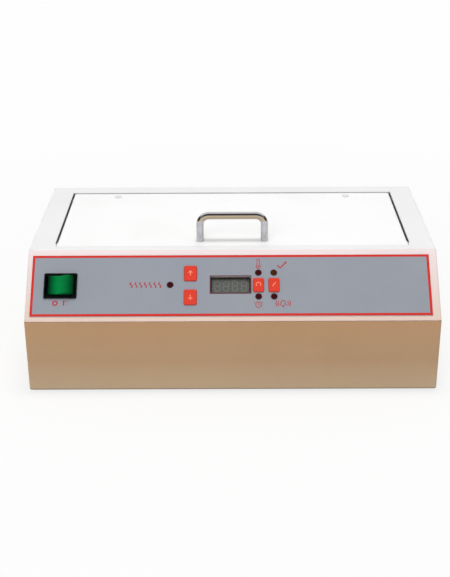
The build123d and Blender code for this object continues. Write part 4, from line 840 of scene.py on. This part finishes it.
dressed = {}
for part in frame["record"]["subparts"]:
    name, slot_name = part["node"], part["material_slot"]
    for material_slot in frame["nodes"][name].material_slots:
        material_slot.material = OWN_FINISH.get(name, SLOT_FINISH[slot_name])
    dressed.setdefault(slot_name, []).append(name)
for slot_name in sorted(dressed):
    print(f"{slot_name:15s}", ", ".join(dressed[slot_name]))

# %% [markdown]
# ## Inks
#
# The signs on the film are screen printed: a thin, slightly uneven layer of red ink. The marks on the
# keys are pale. The line round the display is clear red at its lower edge and painted deep red towards
# its upper one, a painted shade from the display's recess.

# %% Ink finishes
def ink(name, colour, thin, low_colour=None, span=None):
    """Printed ink with thin patches. low_colour is its tone at the low end of span, in height."""
    made, tree, place = start(name)
    patch = noise(tree, place, 0.0022, 3.0)
    pin = noise(tree, place, 0.0004)
    base = screen(*colour)
    if low_colour:
        base = tint(tree, spread(tree, parts_of(tree, place)["Z"], *span), screen(*low_colour), base)
    base = tint(tree, spread(tree, patch, 0.35, 0.75, 0.0, 0.5), base, screen(*thin))
    return complete(made, base, cloudy(tree, patch, 0.38, 0.5), pin, 10, Specular_IOR_Level=0.25)


window_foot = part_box("display_window")[0].z
RED_INK = ink("red printing ink", (218, 44, 38), (206, 62, 54))
SIGN_INK = ink("fine sign ink", (186, 54, 56), (188, 72, 72))
KEY_INK = ink("pale key ink", (252, 152, 122), (248, 132, 104))
# The display's edge line is painted dark towards the top, a painted shade from the recess, and clear red
# at its foot.
EDGE_INK = ink("display edge ink", (88, 22, 34), (110, 34, 44), (206, 40, 50),
               (window_foot - 0.0005, window_foot + 0.004))
print("inks:", RED_INK.name, SIGN_INK.name, KEY_INK.name, EDGE_INK.name)

# %% [markdown]
# ## Three ways to print
#
# A sign is a line of even width, a filled shape or a row of waves. Geometry Nodes make all three from a
# few drawn points. The line tree sweeps a small flat profile along the drawn path. The patch tree fills
# closed outlines, where an outline inside another is a hole, and gives the fill its thickness. The wave
# tree bends an upright stroke and repeats it, as in the common sign for heat. Each ends in plain mesh
# with its ink set, so a change of width or thickness is a change of one number.

# %% Starting, closing and running a tree
def shape_tree(name, takes):
    """A Geometry Nodes tree that takes a drawing, the named inputs, an ink and its thickness."""
    takes = {"Drawing": "Geometry", **takes, "Ink Thickness": "Float", "Ink": "Material"}
    return new_tree(name, "GeometryNodeTree", takes, {"Made": "Geometry"})


def shape(tree, kind, settings=None, **inputs):
    """What one Geometry Nodes node puts out. Its kind is written without GeometryNode."""
    return add(tree, "GeometryNode" + kind, settings, **inputs).outputs[0]


def close_tree(tree, taken, given, made):
    """Ends a tree with Realize Instances and Set Material."""
    real = shape(tree, "RealizeInstances", Geometry=made)
    feed(tree, given["Made"], shape(tree, "SetMaterial", Geometry=real, Material=taken["Ink"]))
    return tree


def ribbon(tree, taken, path):
    """A flat profile swept along a level path."""
    level = shape(tree, "SetCurveNormal", {"mode": "Z_UP"}, Curve=path)
    profile = shape(tree, "CurvePrimitiveQuadrilateral", Width=taken["Line Width"],
                    Height=taken["Ink Thickness"])
    return shape(tree, "CurveToMesh", Curve=level, Profile_Curve=profile, Fill_Caps=True)


def run_tree(tree, drawing, **values):
    """Runs a tree on a drawing's mesh and returns the result as a new plain mesh."""
    host = bpy.data.objects.new("drawing", drawing)
    bpy.context.scene.collection.objects.link(host)
    modifier = host.modifiers.new("tree", "NODES")
    modifier.node_group = tree
    for item in tree.interface.items_tree:
        if item.in_out == "INPUT" and item.name.replace(" ", "_") in values:
            modifier[item.identifier] = values[item.name.replace(" ", "_")]
    bpy.context.view_layer.update()
    ready = host.evaluated_get(bpy.context.evaluated_depsgraph_get())
    mesh = bpy.data.meshes.new_from_object(ready)
    host.modifiers.remove(modifier)
    bpy.data.objects.remove(host)
    return mesh


print("trees and groups so far:", len(bpy.data.node_groups))

# %% The line tree, the patch tree and the wave tree
WAVE_POINTS = 20
WELD = 0.000001


def printed_line_tree():
    """A ribbon along the drawn path."""
    tree, taken, given = shape_tree("printed line", {"Line Width": "Float"})
    path = shape(tree, "MeshToCurve", Mesh=taken["Drawing"])
    made = shape(tree, "SetShadeSmooth", Geometry=ribbon(tree, taken, path), Shade_Smooth=False)
    return close_tree(tree, taken, given, made)


def printed_patch_tree():
    """Closed outlines filled, and the fill given its thickness."""
    tree, taken, given = shape_tree("printed patch", {})
    path = shape(tree, "MeshToCurve", Mesh=taken["Drawing"])
    fill = shape(tree, "FillCurve", {"mode": "TRIANGLES"}, Curve=path)
    rise = shape(tree, "ExtrudeMesh", {"mode": "FACES"}, Mesh=fill,
                 Offset_Scale=taken["Ink Thickness"], Individual=False)
    under = shape(tree, "FlipFaces", Mesh=fill)
    both = add(tree, "GeometryNodeJoinGeometry")
    tree.links.new(rise, both.inputs[0])
    tree.links.new(under, both.inputs[0])
    made = shape(tree, "MergeByDistance", Geometry=both.outputs[0], Distance=WELD)
    return close_tree(tree, taken, given, made)


def wavy_line_tree():
    """The drawn stroke bent to one wave, and Count of them in a row."""
    tree, taken, given = shape_tree("wavy lines", {"Count": "Int", "Pitch": "Float",
                                                   "Swing": "Float", "Line Width": "Float"})
    path = shape(tree, "MeshToCurve", Mesh=taken["Drawing"])
    path = shape(tree, "ResampleCurve", Curve=path, Count=WAVE_POINTS)
    along = shape(tree, "SplineParameter")
    wave = sums(tree, "SINE", times(tree, along, 2 * math.pi))
    aside = add(tree, "ShaderNodeCombineXYZ", X=times(tree, wave, taken["Swing"])).outputs[0]
    path = shape(tree, "SetPosition", Geometry=path, Offset=aside)
    step = add(tree, "ShaderNodeCombineXYZ", X=taken["Pitch"]).outputs[0]
    row = shape(tree, "MeshLine", Count=taken["Count"], Offset=step)
    made = shape(tree, "InstanceOnPoints", Points=row, Instance=ribbon(tree, taken, path))
    return close_tree(tree, taken, given, made)


LINE_TREE = printed_line_tree()
PATCH_TREE = printed_patch_tree()
WAVE_TREE = wavy_line_tree()
print("trees:", LINE_TREE.name, "/", PATCH_TREE.name, "/", WAVE_TREE.name)

# %% [markdown]
# ## Laying a print on a part
#
# A printed sign follows whatever it is on: flat on the film, slightly hollow on a key. So each point of
# a sign is dropped straight down the panel's outward direction until it meets the part, and then set
# back by its own height in the print. The print's underside sinks a few hundredths of a millimetre into
# the part, so no gap and no flicker show.

# %% Drawing, dropping and finishing a print
INK_THICKNESS = 0.00010
INK_SUNK = 0.00004
DROP_FROM = 0.02


def drawn(strokes, middle):
    """A mesh of edges from strokes round a middle: (points in u, v millimetres, closed or not)."""
    points, edges = [], []
    for stroke, closed in strokes:
        first = len(points)
        points += [((middle[0] + u) * MM, (middle[1] + v) * MM, 0.0) for u, v in stroke]
        edges += [(first + i, first + i + 1) for i in range(len(stroke) - 1)]
        if closed:
            edges.append((len(points) - 1, first))
    mesh = bpy.data.meshes.new("drawing")
    mesh.from_pydata(points, edges, [])
    return mesh


def drop_on(mesh, node, lift):
    """Carries a flat print to the panel and lays it on the node that carries it."""
    part = frame["nodes"][node].data
    tree = BVHTree.FromPolygons([v.co for v in part.vertices],
                                [tuple(p.vertices) for p in part.polygons])
    missed = 0
    for point in mesh.vertices:
        above = PANEL @ Vector((point.co.x, point.co.y, DROP_FROM))
        hit = tree.ray_cast(above, -OUTWARD)[0]
        missed += hit is None
        if hit is not None:
            point.co = hit + OUTWARD * (point.co.z + lift)
    return missed


def print_on(name, tree, strokes, colour, middle=(0.0, 0.0), node="control_overlay", body="case",
             slot="overlay_grey", **sizes):
    """Runs a tree on strokes, lays the result on its node and makes it a piece that rides along."""
    mesh = run_tree(tree, drawn(strokes, middle), Ink_Thickness=INK_THICKNESS, Ink=colour, **sizes)
    lowest = min(v.co.z for v in mesh.vertices)
    missed = drop_on(mesh, node, -lowest - INK_SUNK)
    piece = bpy.data.objects.new(name, mesh)
    bpy.context.scene.collection.objects.link(piece)
    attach(piece, body)
    print(f"{name:22s} on {node:16s} faces {len(mesh.polygons):4d} missed {missed}")


print("ink thickness in mm:", INK_THICKNESS / MM)

# %% Arcs, and the edges of a part on the panel
FACE_DEPTH = 0.0006


def arc(radius, begin, end, count, u=0.0, v=0.0):
    """Points on an arc round u, v, from begin to end in degrees."""
    steps = [math.radians(begin + (end - begin) * i / (count - 1)) for i in range(count)]
    return [(u + radius * math.cos(a), v + radius * math.sin(a)) for a in steps]


def inset(edges, step):
    """The corners of a rectangle (low u, low v, high u, high v), made smaller by step all round."""
    low_u, low_v, high_u, high_v = edges
    return [(low_u + step, low_v + step), (high_u - step, low_v + step),
            (high_u - step, high_v - step), (low_u + step, high_v - step)]


def face_edges(node):
    """The rectangle, in u and v, that a panel part's outer face fills."""
    back = PANEL.inverted()
    points = [back @ v.co for v in frame["nodes"][node].data.vertices]
    top = max(p.z for p in points)
    face = [p for p in points if p.z > top - FACE_DEPTH]
    us, vs = [p.x / MM for p in face], [p.y / MM for p in face]
    return min(us), min(vs), max(us), max(vs)


def face_middle(node):
    """The middle of a panel part's outer face."""
    low_u, low_v, high_u, high_v = face_edges(node)
    return (low_u + high_u) / 2, (low_v + high_v) / 2


FILM_EDGES = face_edges("control_overlay")
print("film edges in mm:", [round(e, 1) for e in FILM_EDGES])

# %% [markdown]
# ## The signs
#
# A broad red line frames the panel. Beside each lamp stands a small sign for what it tells: wavy lines
# for heating, a thermometer for temperature, a clock for time, a tick for ready and a bell for the
# alarm. Under the switch are the common marks for off and on. They are drawn from circles, arcs and
# straight runs, each round its own middle in u and v.

# %% Frame round the panel and edge of the display
BORDER_FROM, BORDER_TO = 0.1, 2.4
DISPLAY_U, DISPLAY_V, DISPLAY_WIDE, DISPLAY_TALL = -1.9, 37.48, 38.5, 17.2
DISPLAY_EDGES = (DISPLAY_U - DISPLAY_WIDE / 2, DISPLAY_V - DISPLAY_TALL / 2,
                 DISPLAY_U + DISPLAY_WIDE / 2, DISPLAY_V + DISPLAY_TALL / 2)
EDGE_FROM, EDGE_TO = 0.05, 0.9

border = [(inset(FILM_EDGES, BORDER_FROM), True), (inset(FILM_EDGES, BORDER_TO), True)]
print_on("panel_border", PATCH_TREE, border, RED_INK)
display_line = [(inset(DISPLAY_EDGES, -EDGE_TO), True), (inset(DISPLAY_EDGES, -EDGE_FROM), True)]
print_on("display_edge", PATCH_TREE, display_line, EDGE_INK)

# %% Heating and temperature
WAVE_HALF = 2.8
STEM_HALF, STEM_TALL = 1.15, 6.1
THERMOMETER = (25.1, 56.3)
FINE_LINE = 0.7 * MM

print_on("heating_sign", WAVE_TREE, [([(0.0, -WAVE_HALF), (0.0, WAVE_HALF)], False)], SIGN_INK,
         middle=(-98.0, 37.3), Count=7, Pitch=4.6 * MM, Swing=1.1 * MM, Line_Width=1.0 * MM)

bulb = arc(2.0, 126.0, 414.0, 20)
stem = [(STEM_HALF, STEM_TALL), *arc(STEM_HALF, 0.0, 180.0, 7, v=STEM_TALL + 0.4),
        (-STEM_HALF, STEM_TALL)]
print_on("thermometer_sign", LINE_TREE, [(bulb + stem, True)], SIGN_INK, THERMOMETER,
         Line_Width=FINE_LINE)
print_on("thermometer_fill", PATCH_TREE, [(arc(0.9, 100.0, 440.0, 14), True)], SIGN_INK, THERMOMETER)

# %% Clock, tick and bell
dial = (arc(2.9, 0.0, 345.0, 24), True)
hands = ([(0.0, 1.9), (0.0, 0.0), (1.4, -0.7)], False)
ringers = [([(side * 4.4, 2.2), (side * 3.6, 1.6)], False) for side in (-1, 1)]
print_on("clock_sign", LINE_TREE, [dial, hands, *ringers], SIGN_INK, middle=(25.1, 16.6),
         Line_Width=FINE_LINE)

tick = [([(-3.0, 2.9), (0.0, 0.0), (6.0, 6.5)], False)]
print_on("ready_sign", LINE_TREE, tick, SIGN_INK, middle=(46.6, 54.7), Line_Width=1.4 * MM)

bell = [(-3.3, -1.9), (-2.2, -0.5), *arc(2.1, 180.0, 0.0, 10, v=0.9), (2.2, -0.5), (3.3, -1.9)]
clapper = arc(0.5, 0.0, 330.0, 8, v=-3.0)
rings = [(arc(reach, way - 28.0, way + 28.0, 8), False)
         for way in (0.0, 180.0) for reach in (4.9, 6.9)]
print_on("bell_sign", LINE_TREE, [(bell, True), (clapper, True), *rings], SIGN_INK,
         middle=(48.6, 17.8), Line_Width=0.8 * MM)

# %% Marks under the switch and on the keys
off_on = [(arc(2.1, 0.0, 345.0, 20), True), ([(8.4, -2.5), (8.4, 2.5)], False)]
print_on("switch_sign", LINE_TREE, off_on, SIGN_INK, middle=(-171.0, 18.9), Line_Width=1.3 * MM)


def arrow(way):
    """An arrow's strokes: a short stem and its head, pointing up (1) or down (-1)."""
    return [([(0.0, way * -2.4), (0.0, way * 1.9)], False),
            ([(-1.9, way * 0.5), (0.0, way * 2.5), (1.9, way * 0.5)], False)]


KEY_MARKS = {
    "key_up": arrow(1),
    "key_down": arrow(-1),
    "key_select": [(arc(2.2, -40.0, 220.0, 18, v=0.4), False)],
    "key_start": [([(-1.5, -1.6), (1.6, 2.6)], False)],
}
for key, strokes in KEY_MARKS.items():
    print_on(key + "_mark", LINE_TREE, strokes, KEY_INK, face_middle(key), node=key, body=key,
             slot="key_red", Line_Width=0.9 * MM)
